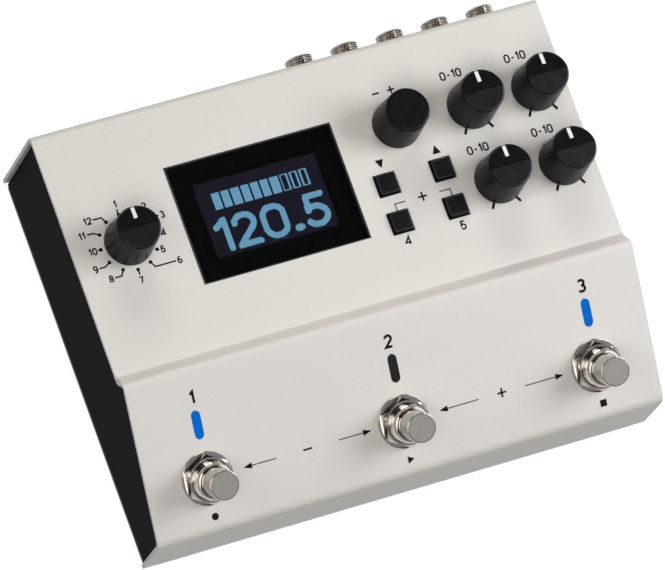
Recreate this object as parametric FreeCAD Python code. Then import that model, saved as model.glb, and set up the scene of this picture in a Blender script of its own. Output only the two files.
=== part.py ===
import FreeCAD, Part
import math
import os

Vec = FreeCAD.Vector

# Digital delay pedal, millimetres. X runs left to right, Y from the player's side to the sockets, Z up.
# The origin lies under the middle of the overall box, on the surface that the feet stand on.

# Wrapped sheet cover: level control panel, raised step, sloped footswitch panel, front lip
panel_margin = 10.6
upper_fall = 0.75
step_run = 2.6
step_rise = 4.8
lower_depth = 46.7
front_height = 24.4
sheet = 1.2
flange_depth = 9.0
relief_width = 4.5
relief_height = 1.8
bend_tight = 1.6
bend_step_foot = 0.8
bend_step_crest = 2.2
bend_front = 3.6

# Side panels, bottom plate and feet
side_inset = 1.5
side_wall = 2.0
side_gap = 0.1
boss_radius = 3.2
boss_height = 12.0
boss_inset_y = 40.0
bottom_sheet = 1.2
bottom_inset = 0.8
bottom_corner = 2.0
foot_height = 3.8
foot_radius = 8.0
foot_draft = 1.0
foot_peg_radius = 2.4
foot_edge = 0.5
foot_bead = 0.4
foot_bead_height = 1.4
foot_inset_x = 17.0
foot_inset_y = 18.0

# Screws under the case
screw_radius = 1.45
screw_length = 6.0
screw_head_radius = 2.75
screw_head_flat = 1.9
screw_head_height = 1.7
screw_hole_gap = 0.1
flange_screw_side = 15.0
flange_screw_inset = 5.4

# Battery bay for four cells side by side, with its cover in the bottom plate
cell_diameter = 14.5
cell_length = 50.5
cell_count = 4
cell_play = 0.4
contact_room = 6.4
bay_wall = 1.6
bay_inset = 35.35
bay_board_gap = 1.95
bay_air = 5.1
bay_ear_radius = 3.2
bay_ear_height = 8.0
lid_gap = 0.3
lid_rib = 1.2
lid_rib_height = 2.0
contact_width = 9.0
contact_sheet = 0.4
contact_bend = 1.0
contact_crest = 1.5
lid_notch_radius = 7.0

# Clearances
run_gap = 0.05
fit_gap = 0.1
hand_gap = 0.2
loose_gap = 0.3

# Control panel layout: X from the middle, U along the panel from the foot of the step to the rear
knob_front_row = 28.0
knob_rear_row = 53.0
value_row = 53.5
column_room = 25.15
column_pitch = 21.9
mode_room = 18.85
window_x = -20.4
window_u = 40.7
window_width = 54.9
window_height = 38.1
button_room = 10.95
button_pitch = 18.7
button_rear_row = 36.2
button_front_row = 23.7

# Knobs, shafts and what they turn
knob_base_radius = 7.75
knob_top_radius = 6.9
knob_lift = 0.6
knob_height = 14.9
knob_wall = 1.4
knob_hollow = 8.0
knob_edge = 0.45
knob_skirt = 1.0
crown_angle = 4.5
shaft_radius = 3.0
shaft_flat = 0.8
shaft_bite = 7.5
hub_wall = 1.5
bush_radius = 3.5
bush_stand = 0.4
control_drop = 9.0
pot_height = 6.8
pot_width = 9.8
pot_length = 11.0
encoder_size = 12.0
selector_radius = 8.2
rotor_depth = 4.0

# Push buttons and the tact switches under them
button_size = 7.0
button_stand = 1.5
button_corner = 0.6
button_rim = 0.7
button_travel = 0.4
button_stem_radius = 1.6
tact_size = 6.0
tact_height = 3.6

# Display
window_sheet = 1.5
window_lap = 3.0
screen_width = 40.6
screen_height = 24.1
screen_frame = 3.6
screen_shift_x = 0.3
screen_shift_u = -0.1

# Footswitches and indicator lamps on the sloped panel
footswitch_pitch = 65.3
footswitch_u = 16.4
plunger_radius = 4.7
plunger_proud = 4.6
plunger_travel = 3.0
plunger_flange_radius = 5.5
plunger_flange_height = 1.5
plunger_bevel = 0.35
collar_radius = 5.5
collar_height = 8.0
thread_radius = 6.0
thread_height = 6.2
nut_across = 14.0
nut_height = 3.0
washer_radius = 8.4
washer_sheet = 0.8
switch_size = 16.8
switch_depth = 18.0
switch_wall = 1.4
spring_wire = 0.6
spring_turns = 4
lug_length = 3.0
lug_width = 3.0
lug_sheet = 0.8
lamp_shift = 0.55
lamp_u = 33.45
lamp_length = 9.1
lamp_width = 2.4
lamp_flange = 0.8
lamp_board_drop = 6.6
lamp_board_width = 12.0
chip_height = 1.0
chip_length = 3.4
lamp_board_end = 10.0

# Circuit boards
board = 1.6
board_air = 7.65
board_side_gap = 0.9
control_board_front = 9.0
control_board_side = 10.8
control_board_lap = 9.0
main_board_inset = 11.5
main_board_depth = 42.5
main_board_lead = 3.5
jack_board_height = 10.0
jack_board_lead = 5.0
spacer_across = 5.0
spacer_inset = 4.5
spacer_room = 3.65
jack_spacer_side = 31.5
package_height = 1.4
processor_size = 20.0
processor_x = -14.0
memory_length = 14.0
memory_width = 9.0
memory_x = 10.0
header_length = 5.0
header_width = 24.0
header_height = 2.4
header_x = 40.0
capacitor_radius = 3.1
capacitor_height = 5.4
capacitor_x = 54.0
ribbon_width = 24.0
ribbon_sheet = 0.6
ribbon_bend = 1.5
ribbon_lap = 5.0
ribbon_left = -45.0
ribbon_right = 20.0

# Sockets through the rear wall; heights are above the cover's lower edge
jack_stand = 7.8
jack_inset = 10.3
jack_pitch = 15.45
jack_count = 5
jack_height = 19.5
jack_thread_radius = 4.45
jack_bore_radius = 3.25
jack_well_radius = 3.8
jack_body_width = 12.8
jack_body_length = 26.0
jack_body_top = 6.6
jack_spigot = 3.0
jack_lead = 0.5
jack_back = 1.6
jack_nut_across = 12.0
jack_nut_height = 2.2
jack_washer_radius = 7.0
jack_washer_sheet = 0.5
din_pitch = 21.6
din_size = 20.0
din_depth = 13.0
din_collar_radius = 7.9
din_ring_radius = 7.1
din_core_radius = 5.9
din_pin_circle = 3.75
din_pin_radius = 0.75
din_well = 8.0
din_room = 18.2
dc_room = 12.6
power_room = 12.0
power_inset = 10.4
usb_width = 12.0
usb_tall = 11.0
usb_depth = 16.0
usb_mouth_width = 8.5
usb_mouth_height = 7.8
usb_tongue_width = 5.6
usb_tongue_height = 3.2
usb_tongue_set = 1.0
usb_corner = 1.6
usb_back = 4.0
dc_width = 9.0
dc_tall = 11.0
dc_depth = 13.5
dc_bore = 2.85
dc_pin = 1.0
dc_collar = 4.0
dc_back = 3.0
dc_pin_set = 0.5
power_size = 8.6
power_depth = 12.0
power_button_size = 5.4
power_button_stand = 4.6
power_travel = 2.0
power_edge = 0.4
socket_stand = 0.3

# Places that follow from the sizes above
window_right = window_x + window_width / 2
mode_x = window_x - window_width / 2 - mode_room
mode_u = window_u
button_left = window_right + button_room
button_right = button_left + button_pitch
value_column = (button_left + button_right) / 2
inner_column = value_column + column_room
outer_column = inner_column + column_pitch
half_width = outer_column + panel_margin
case_width = 2 * half_width
bay_width = cell_count * (cell_diameter + cell_play)
bay_length = cell_length + contact_room
bay_height = cell_diameter + 2 * cell_play
main_board_height = bay_height + bay_wall + bay_air
rear_height = main_board_height + 2 * board + board_air + control_drop + upper_fall
bay_rear = bay_inset + bay_length + 2 * bay_wall
jack_board_depth = jack_body_length + jack_board_lead
main_board_rear = jack_board_depth + main_board_lead
main_board_front = main_board_rear + main_board_depth
cover_depth = bay_rear + bay_board_gap + jack_board_depth + loose_gap + sheet
upper_depth = cover_depth - step_run - lower_depth
overall_depth = cover_depth + jack_stand
front_y = -overall_depth / 2
rear_y = front_y + cover_depth
base_z = foot_height + bottom_sheet
step_foot_y = rear_y - upper_depth
step_foot_z = base_z + rear_height - upper_fall
crest_y = step_foot_y - step_run
crest_z = step_foot_z + step_rise
front_z = base_z + front_height
board_top_z = base_z + jack_board_height + board
side_inner = half_width - side_inset - side_wall
upper_slope = math.degrees(math.atan2(upper_fall, upper_depth))
lower_slope = math.degrees(math.atan2(crest_z - front_z, lower_depth))
foot_x = half_width - foot_inset_x
control_board_left = mode_x - control_board_side
control_board_right = side_inner - board_side_gap
control_board_rear = knob_rear_row + control_board_lap
bay_y = front_y + bay_inset + bay_wall + bay_length / 2
power_x = power_inset - half_width
dc_x = power_x + power_room
usb_x = dc_x + dc_room
plunger_hole = plunger_radius + run_gap
switch_well = switch_depth - switch_wall
plunger_stand = collar_height + plunger_travel + plunger_proud
plunger_stop = sheet + switch_wall + fit_gap
plunger_tail = plunger_stop + plunger_flange_height
knob_top = knob_lift + knob_height


def panel_place(y, z, slope, x, u):
    """Local frame on a sloping panel: x to the right, y up the panel to the rear, z out of it."""
    turn = FreeCAD.Rotation(Vec(1, 0, 0), slope)
    return FreeCAD.Placement(Vec(x, y, z) + turn.multVec(Vec(0, u, 0)), turn)


def on_upper(shape, x=0.0, u=0.0):
    """Moves a shape from the local frame to the control panel at (x, u)."""
    return placed(shape, panel_place(step_foot_y, step_foot_z, upper_slope, x, u))


def on_lower(shape, x=0.0, u=0.0):
    """Moves a shape from the local frame to the footswitch panel at (x, u)."""
    return placed(shape, panel_place(front_y, front_z, lower_slope, x, u))


def on_rear(shape, x, height):
    """Moves a shape to the rear wall: local z points out of the wall, local y up, local x to -X."""
    turn = FreeCAD.Rotation(Vec(-1, 0, 0), Vec(0, 0, 1), Vec(0, 1, 0), "ZXY")
    return placed(shape, FreeCAD.Placement(Vec(x, rear_y, base_z + height), turn))


def placed(shape, placement):
    """A copy of the shape, carried by the placement."""
    return shape.transformed(placement.toMatrix())


def moved(shape, x=0.0, y=0.0, z=0.0):
    """A copy of the shape, shifted."""
    copy = shape.copy()
    copy.translate(Vec(x, y, z))
    return copy


def block(width, depth, low, high, x=0.0, y=0.0):
    """Box centred on (x, y) between two heights."""
    return Part.makeBox(width, depth, high - low, Vec(x - width / 2, y - depth / 2, low))


def rod(radius, low, high, x=0.0, y=0.0):
    """Upright cylinder between two heights."""
    return Part.makeCylinder(radius, high - low, Vec(x, y, low))


def polygon(points):
    """Closed flat face through 3-D points."""
    return Part.Face(Part.makePolygon(points + [points[0]]))


def turned(profile):
    """Solid turned about the local z axis from (radius, height) corners."""
    face = polygon([Vec(r, 0, z) for r, z in profile])
    return face.revolve(Vec(0, 0, 0), Vec(0, 0, 1), 360)


def stadium(length, width, low, high):
    """Prism with round ends, long along local y."""
    reach = (length - width) / 2
    body = block(width, length - width, low, high)
    ends = [rod(width / 2, low, high, 0, side * reach) for side in (-1, 1)]
    return body.fuse(ends).removeSplitter()


def hexagon(across, low, high):
    """Hexagonal prism with its outer corners turned off to a shallow cone at both ends."""
    corner = across / math.sqrt(3)
    points = [Vec(corner * math.cos(math.radians(60 * k)), corner * math.sin(math.radians(60 * k)), low)
              for k in range(6)]
    prism = polygon(points).extrude(Vec(0, 0, high - low))
    drop = corner - across / 2
    rim = turned([(0, low), (across / 2, low), (corner, low + drop / 2),
                  (corner, high - drop / 2), (across / 2, high), (0, high)])
    return prism.common(rim)


def offset_line(points, distance):
    """Open chain of (y, z) points, shifted by a distance to the left of its direction."""
    normals = []
    for start, end in zip(points, points[1:]):
        length = math.hypot(end[0] - start[0], end[1] - start[1])
        normals.append((-(end[1] - start[1]) / length, (end[0] - start[0]) / length))
    shifted = [(points[0][0] + distance * normals[0][0], points[0][1] + distance * normals[0][1])]
    for point, before, after in zip(points[1:], normals, normals[1:]):
        scale = distance / (1 + before[0] * after[0] + before[1] * after[1])
        shifted.append((point[0] + scale * (before[0] + after[0]), point[1] + scale * (before[1] + after[1])))
    last = points[-1]
    shifted.append((last[0] + distance * normals[-1][0], last[1] + distance * normals[-1][1]))
    return shifted


def rounded_chain(points, radii):
    """Edges of an open chain in the YZ plane whose inner corners are rounded by the given radii."""
    edges = []
    here = Vec(0, *points[0])
    for before, corner, after, radius in zip(points, points[1:], points[2:], radii):
        knee = Vec(0, *corner)
        back = (Vec(0, *before) - knee).normalize()
        ahead = (Vec(0, *after) - knee).normalize()
        half = back.getAngle(ahead) / 2
        reach = radius / math.tan(half)
        middle = knee + (back + ahead).normalize() * (radius / math.sin(half) - radius)
        start = knee + back * reach
        end = knee + ahead * reach
        edges.append(Part.LineSegment(here, start).toShape())
        edges.append(Part.Arc(start, middle, end).toShape())
        here = end
    edges.append(Part.LineSegment(here, Vec(0, *points[-1])).toShape())
    return edges


def strip(points, radii, thickness, x_low, width):
    """Bent sheet: an outer chain, thickened to the left of its direction and extruded along X."""
    inner = offset_line(points, thickness)
    inner_radii = []
    for before, corner, after, radius in zip(points, points[1:], points[2:], radii):
        run = (corner[0] - before[0], corner[1] - before[1])
        turn = run[0] * (after[1] - corner[1]) - run[1] * (after[0] - corner[0])
        inner_radii.append(max(radius - thickness, fit_gap) if turn > 0 else radius + thickness)
    edges = rounded_chain(points, radii) + rounded_chain(inner, inner_radii)
    edges.append(Part.LineSegment(Vec(0, *points[0]), Vec(0, *inner[0])).toShape())
    edges.append(Part.LineSegment(Vec(0, *points[-1]), Vec(0, *inner[-1])).toShape())
    face = Part.Face(Part.Wire(Part.__sortEdges__(edges)))
    return moved(face, x=x_low).extrude(Vec(width, 0, 0))


def cover_corners():
    """Outer corners of the cover from the rear wall's foot to the front lip's foot."""
    return [(rear_y, base_z), (rear_y, base_z + rear_height), (step_foot_y, step_foot_z),
            (crest_y, crest_z), (front_y, front_z), (front_y, base_z)]


def knob_places():
    """Name and place of each knob on the control panel."""
    return {"mode": (mode_x, mode_u), "value": (value_column, value_row),
            "feedback": (inner_column, knob_rear_row), "level": (outer_column, knob_rear_row),
            "tone": (inner_column, knob_front_row), "depth": (outer_column, knob_front_row)}


def button_places():
    """Name and place of each push button on the control panel."""
    return {"down": (button_left, button_rear_row), "up": (button_right, button_rear_row),
            "exit": (button_left, button_front_row), "edit": (button_right, button_front_row)}


def footswitch_places():
    """Name and X of each footswitch."""
    return {"left": -footswitch_pitch, "centre": 0.0, "right": footswitch_pitch}


def jack_places():
    """X of each jack along the rear wall."""
    last = half_width - jack_inset
    return [last - k * jack_pitch for k in reversed(range(jack_count))]


def din_places():
    """X of the two round sockets."""
    left = usb_x + din_room
    return [left + din_pitch, left]


def flange_screws():
    """Screws up into the cover's turned-in flanges."""
    rows = (front_y + flange_screw_inset, rear_y - flange_screw_inset)
    side = half_width - flange_screw_side
    return [(x, y) for y in rows for x in (-side, 0.0, side)]


def boss_places():
    """Screw bosses of the left side panel."""
    x = -(side_inner - boss_radius + fit_gap)
    return [(x, rear_y - boss_inset_y), (x, front_y + boss_inset_y)]


def ear_places():
    """Screw ears beside the battery box."""
    x = bay_width / 2 + bay_wall + bay_ear_radius - 2 * fit_gap
    return [(-x, bay_y), (x, bay_y)]


def bottom_screw_places():
    """Every screw through the bottom plate."""
    left = boss_places()
    right = [(-x, y) for x, y in left]
    return flange_screws() + left + right + ear_places()


def foot_places():
    """The four feet."""
    return [(x, y) for x in (-foot_x, foot_x) for y in (front_y + foot_inset_y, rear_y - foot_inset_y)]


def top_cover():
    """Wrapped cover: one bent strip with turned-in flanges, corner reliefs and all panel openings."""
    feet = [(rear_y - flange_depth, base_z)] + cover_corners() + [(front_y + flange_depth, base_z)]
    radii = [bend_tight, bend_tight, bend_step_foot, bend_step_crest, bend_front, bend_tight]
    body = strip(feet, radii, sheet, -half_width, case_width)
    cutters = []
    for side in (-1, 1):
        x = side * (half_width - relief_width / 2)
        for y in (front_y + flange_depth / 2, rear_y - flange_depth / 2):
            cutters.append(block(relief_width + fit_gap, flange_depth + 2 * bend_tight, base_z - fit_gap,
                                 base_z + relief_height, x + side * fit_gap / 2, y))
    through = (-2 * sheet, sheet)
    for x, u in knob_places().values():
        cutters.append(on_upper(rod(bush_radius + loose_gap, *through), x, u))
    cutters.append(on_upper(block(window_width, window_height, *through), window_x, window_u))
    hole = button_size + 2 * hand_gap
    for x, u in button_places().values():
        cutters.append(on_upper(block(hole, hole, *through), x, u))
    for x in footswitch_places().values():
        cutters.append(on_lower(rod(thread_radius + fit_gap, *through), x, footswitch_u))
    for x in lamp_places():
        cutters.append(on_lower(stadium(lamp_length, lamp_width, *through), x, lamp_u))
    for x in jack_places():
        cutters.append(on_rear(rod(jack_thread_radius + fit_gap, *through), x, jack_height))
    for x in din_places():
        cutters.append(on_rear(rod(din_collar_radius + hand_gap, *through), x, din_height()))
    mouth = block(usb_width + 2 * hand_gap, usb_tall + 2 * hand_gap, *through)
    cutters.append(on_rear(mouth, usb_x, usb_height()))
    cutters.append(on_rear(rod(dc_collar + hand_gap, *through), dc_x, dc_height()))
    key = power_button_size + 2 * loose_gap
    cutters.append(on_rear(block(key, key, *through), power_x, power_height()))
    for x, y in flange_screws():
        cutters.append(rod(screw_radius + run_gap, base_z - sheet, base_z + 2 * sheet, x, y))
    return body.cut(cutters)


def din_height():
    """Axis of the round sockets, which stand on the jack board."""
    return jack_board_height + board + din_size / 2


def usb_height():
    """Middle of the square socket, which stands on the jack board."""
    return jack_board_height + board + usb_tall / 2


def dc_height():
    """Axis of the power inlet."""
    return jack_board_height + board + dc_tall / 2


def power_height():
    """Middle of the power button."""
    return jack_board_height + board + power_size / 2


def left_side_panel():
    """Moulded side wall that fills the cover's end, with two bosses for the bottom screws."""
    line = offset_line(cover_corners(), sheet + side_gap)
    radii = [max(bend_tight - sheet, side_gap), bend_step_foot + sheet, bend_step_crest - sheet,
             bend_front - sheet]
    edges = rounded_chain(line, radii)
    edges.append(Part.LineSegment(Vec(0, *line[-1]), Vec(0, *line[0])).toShape())
    face = Part.Face(Part.Wire(Part.__sortEdges__(edges)))
    wall = moved(face, x=-half_width + side_inset).extrude(Vec(side_wall, 0, 0))
    holes = []
    for x, y in boss_places():
        boss = rod(boss_radius, base_z, base_z + boss_height, x, y)
        gusset = block(boss_radius, side_wall, base_z, base_z + boss_height / 2, x - boss_radius / 2, y)
        gusset = moved(gusset, y=boss_radius)
        wall = wall.fuse([boss, gusset])
        holes.append(rod(screw_radius + run_gap, base_z - side_gap, base_z + screw_length, x, y))
    return wall.cut(holes).removeSplitter()


def right_side_panel():
    """Mirror image of the left side panel."""
    return left_side_panel().mirror(Vec(0, 0, 0), Vec(1, 0, 0))


def bottom_plate():
    """Flat steel plate under the case, with the battery opening and holes for screws and feet."""
    width = case_width - 2 * side_inset
    depth = cover_depth - 2 * bottom_inset
    plate = block(width, depth, foot_height, base_z, 0, (front_y + rear_y) / 2)
    uprights = [edge for edge in plate.Edges if edge.BoundBox.ZLength > bottom_sheet / 2]
    plate = plate.makeFillet(bottom_corner, uprights)
    cutters = [block(bay_width, bay_length, 0, 2 * base_z, 0, bay_y)]
    for x, y in bottom_screw_places():
        cutters.append(rod(screw_radius + screw_hole_gap, 0, 2 * base_z, x, y))
    for x, y in foot_places():
        cutters.append(rod(foot_peg_radius + fit_gap, 0, 2 * base_z, x, y))
    return plate.cut(cutters)


def bottom_screws():
    """Pan-head screws that hold the plate to the cover, the side panels and the battery box."""
    head = foot_height - screw_head_height
    profile = [(0, head), (screw_head_flat, head), (screw_head_radius, head + screw_head_height / 2),
               (screw_head_radius, foot_height), (screw_radius, foot_height),
               (screw_radius, foot_height + screw_length), (0, foot_height + screw_length)]
    screw = turned(profile)
    return [moved(screw, x, y) for x, y in bottom_screw_places()]


def rubber_feet():
    """Turned rubber feet, each with a peg through the bottom plate and a snap bead above it."""
    tread = foot_radius - foot_draft
    bead = foot_peg_radius + foot_bead
    low = base_z + fit_gap
    high = low + foot_bead_height
    profile = [(0, 0), (tread - foot_edge, 0), (tread, foot_edge), (foot_radius, foot_height),
               (foot_peg_radius, foot_height), (foot_peg_radius, low), (bead, low), (foot_peg_radius, high),
               (0, high)]
    foot = turned(profile)
    return [moved(foot, x, y) for x, y in foot_places()]


def battery_box():
    """Moulded tray, open below, with screw ears and curved ribs between the cells."""
    outer = block(bay_width + 2 * bay_wall, bay_length + 2 * bay_wall, base_z, base_z + bay_height + bay_wall,
                  0, bay_y)
    ears = [rod(bay_ear_radius, base_z, base_z + bay_ear_height, x, y) for x, y in ear_places()]
    inner = block(bay_width, bay_length, base_z - bay_wall, base_z + bay_height, 0, bay_y)
    holes = [rod(screw_radius + run_gap, base_z - bay_wall, base_z + screw_length, x, y)
             for x, y in ear_places()]
    return outer.fuse(ears).cut([inner] + holes).removeSplitter()


def battery_contacts():
    """Bent leaf contacts on the bay's end walls, bowed towards the cells."""
    bow = contact_room / 2 - contact_sheet - 2 * fit_gap
    foot = base_z + bay_height / 2
    rise = bay_height / 4
    bends = [contact_bend, contact_crest, contact_bend]
    leaves = []
    for side in (-1, 1):
        wall = bay_y + side * (bay_length / 2 - fit_gap)
        chain = [(wall, foot - 1.6 * rise), (wall, foot - rise), (wall - side * bow, foot),
                 (wall, foot + rise), (wall, foot + 1.6 * rise)]
        if side < 0:
            chain.reverse()
        for k in range(cell_count):
            x = (k - (cell_count - 1) / 2) * (cell_diameter + cell_play)
            leaves.append(strip(chain, bends, contact_sheet, x - contact_width / 2, contact_width))
    return leaves


def battery_cover():
    """Lift-out cover, flush with the bottom plate, with a locating rib and a finger notch."""
    width = bay_width - 2 * lid_gap
    length = bay_length - 2 * lid_gap
    lid = block(width, length, foot_height, base_z, 0, bay_y)
    inset = lid_rib + fit_gap
    rib = block(width - inset, length - inset, base_z, base_z + lid_rib_height, 0, bay_y)
    hollow = block(width - inset - 2 * lid_rib, length - inset - 2 * lid_rib, base_z,
                   base_z + 2 * lid_rib_height, 0, bay_y)
    notch = rod(lid_notch_radius, foot_height - sheet, foot_height + bottom_sheet / 2, 0, bay_y + length / 2)
    return lid.fuse(rib.cut(hollow)).cut(notch).removeSplitter()


def display_window():
    """Clear plate glued under the sheet, behind the display opening."""
    lap = 2 * window_lap
    plate = block(window_width + lap, window_height + lap, -sheet - window_sheet, -sheet)
    return on_upper(plate, window_x, window_u)


def display_module():
    """Liquid crystal display: a glass in its frame, standing on the control board."""
    top = -sheet - window_sheet - loose_gap
    width = screen_width + 2 * screen_frame
    height = screen_height + 2 * screen_frame
    frame = block(width, height, -control_drop, top)
    mouth = block(screen_width, screen_height, top - fit_gap, top + fit_gap)
    return on_upper(frame.cut(mouth), window_x + screen_shift_x, window_u + screen_shift_u)


def knob(crowned):
    """Tapered knob over a D-shaped shaft, hollow below; a crowned one has two facets on top."""
    shoulder = knob_top_radius + (knob_base_radius - knob_top_radius) * knob_edge / knob_height
    body = turned([(0, knob_lift), (knob_base_radius, knob_lift), (shoulder, knob_top - knob_edge),
                   (knob_top_radius - knob_edge, knob_top), (0, knob_top)])
    if crowned:
        reach = 2 * knob_base_radius
        fall = reach * math.tan(math.radians(crown_angle))
        for side in (-1, 1):
            wedge = polygon([Vec(-reach, 0, knob_top), Vec(-reach, side * reach, knob_top - fall),
                             Vec(-reach, side * reach, knob_top + fall), Vec(-reach, 0, knob_top + fall)])
            body = body.cut(wedge.extrude(Vec(2 * reach, 0, 0)))
    hub = shaft_radius + hub_wall
    cavity = rod(knob_top_radius - knob_wall, 0, knob_lift + knob_hollow).cut(rod(hub, 0, knob_top))
    bore_top = knob_lift + shaft_bite + 2 * fit_gap
    bore = rod(shaft_radius + run_gap, 0, bore_top)
    flat = block(4 * shaft_radius, shaft_radius, knob_lift + knob_skirt, knob_top, 0,
                 -(1.5 * shaft_radius - shaft_flat + run_gap))
    return body.cut([cavity, bore.cut(flat)])


def knob_shaft():
    """Round shaft with a D-shaped end; its foot turns in the switch or potentiometer."""
    end = knob_lift + shaft_bite
    shaft = rod(shaft_radius, -control_drop + pot_height - rotor_depth, end)
    flat = block(4 * shaft_radius, shaft_radius, knob_lift + knob_skirt, knob_top, 0,
                 -(1.5 * shaft_radius - shaft_flat))
    return shaft.cut(flat)


def shaft_housing(body):
    """A control's body with its bushing, bored for the shaft."""
    top = -control_drop + pot_height
    bush = rod(bush_radius, top, bush_stand)
    well = rod(shaft_radius + run_gap, top - rotor_depth - fit_gap, bush_stand + fit_gap)
    return body.fuse(bush).cut(well).removeSplitter()


def potentiometer_bodies():
    """The four potentiometers that stand on the control board."""
    body = block(pot_width, pot_length, -control_drop, -control_drop + pot_height)
    housing = shaft_housing(body)
    places = knob_places()
    return [on_upper(housing, *places[name]) for name in ("feedback", "level", "tone", "depth")]


def value_encoder_body():
    """Square rotary encoder under the value knob."""
    body = block(encoder_size, encoder_size, -control_drop, -control_drop + pot_height)
    return on_upper(shaft_housing(body), *knob_places()["value"])


def mode_switch_body():
    """Round rotary selector under the mode knob."""
    body = rod(selector_radius, -control_drop, -control_drop + pot_height)
    return on_upper(shaft_housing(body), *knob_places()["mode"])


def push_button():
    """Square key cap with a rim under the sheet and a stem into the tact switch."""
    rim_top = -sheet - hand_gap
    rim_low = rim_top - sheet
    cap = block(button_size, button_size, rim_low, button_stand)
    uprights = [edge for edge in cap.Edges if edge.BoundBox.ZLength > button_stand]
    cap = cap.makeFillet(button_corner, uprights)
    face = [edge for edge in cap.Edges if edge.BoundBox.ZMin > button_stand - fit_gap]
    cap = cap.makeChamfer(button_corner / 2, face)
    rim = block(button_size + 2 * button_rim, button_size + 2 * button_rim, rim_low, rim_top)
    stem = rod(button_stem_radius, -control_drop + tact_height - button_travel, rim_low)
    return cap.fuse([rim, stem]).removeSplitter()


def tact_switches():
    """Four small switches on the control board, each with a well for its button's stem."""
    body = block(tact_size, tact_size, -control_drop, -control_drop + tact_height)
    well = rod(button_stem_radius + fit_gap, -control_drop + tact_height - 2 * button_travel - loose_gap,
               -control_drop + 2 * tact_height)
    switch = body.cut(well)
    return [on_upper(switch, x, u) for x, u in button_places().values()]


def plunger():
    """Footswitch plunger: a rod with a bevelled, flat top and a flange that stops it under the bushing."""
    profile = [(0, -plunger_tail), (plunger_flange_radius, -plunger_tail),
               (plunger_flange_radius, -plunger_stop), (plunger_radius, -plunger_stop),
               (plunger_radius, plunger_stand - plunger_bevel),
               (plunger_radius - plunger_bevel, plunger_stand), (0, plunger_stand)]
    return on_lower(turned(profile), 0, footswitch_u)


def footswitch_bushings():
    """Threaded bushings through the sloped panel, each with a smooth collar at its mouth."""
    low = -sheet - switch_wall
    profile = [(plunger_hole, low), (thread_radius, low), (thread_radius, thread_height),
               (collar_radius, thread_height + thread_radius - collar_radius),
               (collar_radius, collar_height - plunger_bevel), (collar_radius - plunger_bevel, collar_height),
               (plunger_hole, collar_height)]
    bush = turned(profile)
    return [on_lower(bush, x, footswitch_u) for x in footswitch_places().values()]


def footswitch_nuts():
    """Hexagonal nuts that clamp the footswitches."""
    nut = hexagon(nut_across, washer_sheet, washer_sheet + nut_height)
    nut = nut.cut(rod(thread_radius + run_gap, 0, collar_height))
    return [on_lower(nut, x, footswitch_u) for x in footswitch_places().values()]


def footswitch_washers():
    """Washers under the nuts, with a softened rim."""
    soft = washer_sheet / 3
    profile = [(thread_radius + fit_gap, 0), (washer_radius, 0), (washer_radius, washer_sheet - soft),
               (washer_radius - soft, washer_sheet), (thread_radius + fit_gap, washer_sheet)]
    washer = turned(profile)
    return [on_lower(washer, x, footswitch_u) for x in footswitch_places().values()]


def footswitch_bodies():
    """Switch housings under the sheet, each with a well for plunger and spring and two solder lugs."""
    top = -sheet
    case = block(switch_size, switch_size, top - switch_depth, top)
    neck = rod(thread_radius + run_gap, top - switch_wall, top)
    well = rod(plunger_flange_radius + loose_gap, top - switch_well, top)
    lugs = [block(lug_sheet, lug_width, top - switch_depth - lug_length, top - switch_depth, x, 0)
            for x in (-switch_size / 4, switch_size / 4)]
    case = case.cut([neck, well]).fuse(lugs)
    return [on_lower(case, x, footswitch_u) for x in footswitch_places().values()]


def return_spring():
    """Coil under the plunger: an eight-sided helix of square wire."""
    low = -sheet - switch_well + spring_wire
    high = -plunger_tail - spring_wire
    radius = plunger_radius - 2 * spring_wire
    steps = 8 * spring_turns
    path = [Vec(radius * math.cos(math.pi * k / 4), radius * math.sin(math.pi * k / 4),
                low + (high - low) * k / steps) for k in range(steps + 1)]
    half = spring_wire / 2
    section = Part.makePolygon([Vec(radius + a * half, 0, low + b * half)
                                for a, b in ((-1, -1), (1, -1), (1, 1), (-1, 1), (-1, -1))])
    spine = Part.makePolygon(path)
    coil = spine.makePipeShell([section], True, True, 1)
    return on_lower(coil, 0, footswitch_u)


def lamp_places():
    """X of the left, middle and right lamps, which stand a little to the right of the switches."""
    return [x + lamp_shift for x in footswitch_places().values()]


def lamp_lens():
    """Light pipe of an indicator lamp, flush in its slot, with a flange under the sheet."""
    gap = 2 * fit_gap
    pipe = stadium(lamp_length - gap, lamp_width - gap, -lamp_board_drop + chip_height + loose_gap, 0)
    wide = 2 * lamp_flange
    flange = stadium(lamp_length + wide, lamp_width + wide, -sheet - lamp_flange, -sheet)
    return pipe.fuse(flange).removeSplitter()


def lit_lamp_lenses():
    """The left and right lamps."""
    left, middle, right = lamp_places()
    return [on_lower(lamp_lens(), x, lamp_u) for x in (left, right)]


def unlit_lamp_lens():
    """The middle lamp."""
    left, middle, right = lamp_places()
    return on_lower(lamp_lens(), middle, lamp_u)


def lamp_board():
    """Narrow board behind the three lamps, with a light chip soldered on under each."""
    low = -lamp_board_drop
    plate = block(2 * (footswitch_pitch + lamp_board_end), lamp_board_width, low - board, low)
    chips = [block(lamp_width, chip_length, low, low + chip_height, x) for x in lamp_places()]
    return on_lower(plate.fuse(chips).removeSplitter(), 0, lamp_u)


def control_board():
    """Board under the control panel that carries its controls and the display."""
    width = control_board_right - control_board_left
    depth = control_board_rear - control_board_front
    plate = block(width, depth, -control_drop - board, -control_drop)
    return on_upper(plate, (control_board_right + control_board_left) / 2,
                    (control_board_rear + control_board_front) / 2)


def main_board():
    """Processor board over the battery box."""
    low = base_z + main_board_height
    return block(2 * (side_inner - main_board_inset), main_board_depth, low, low + board, 0,
                 rear_y - main_board_rear - main_board_depth / 2)


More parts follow.
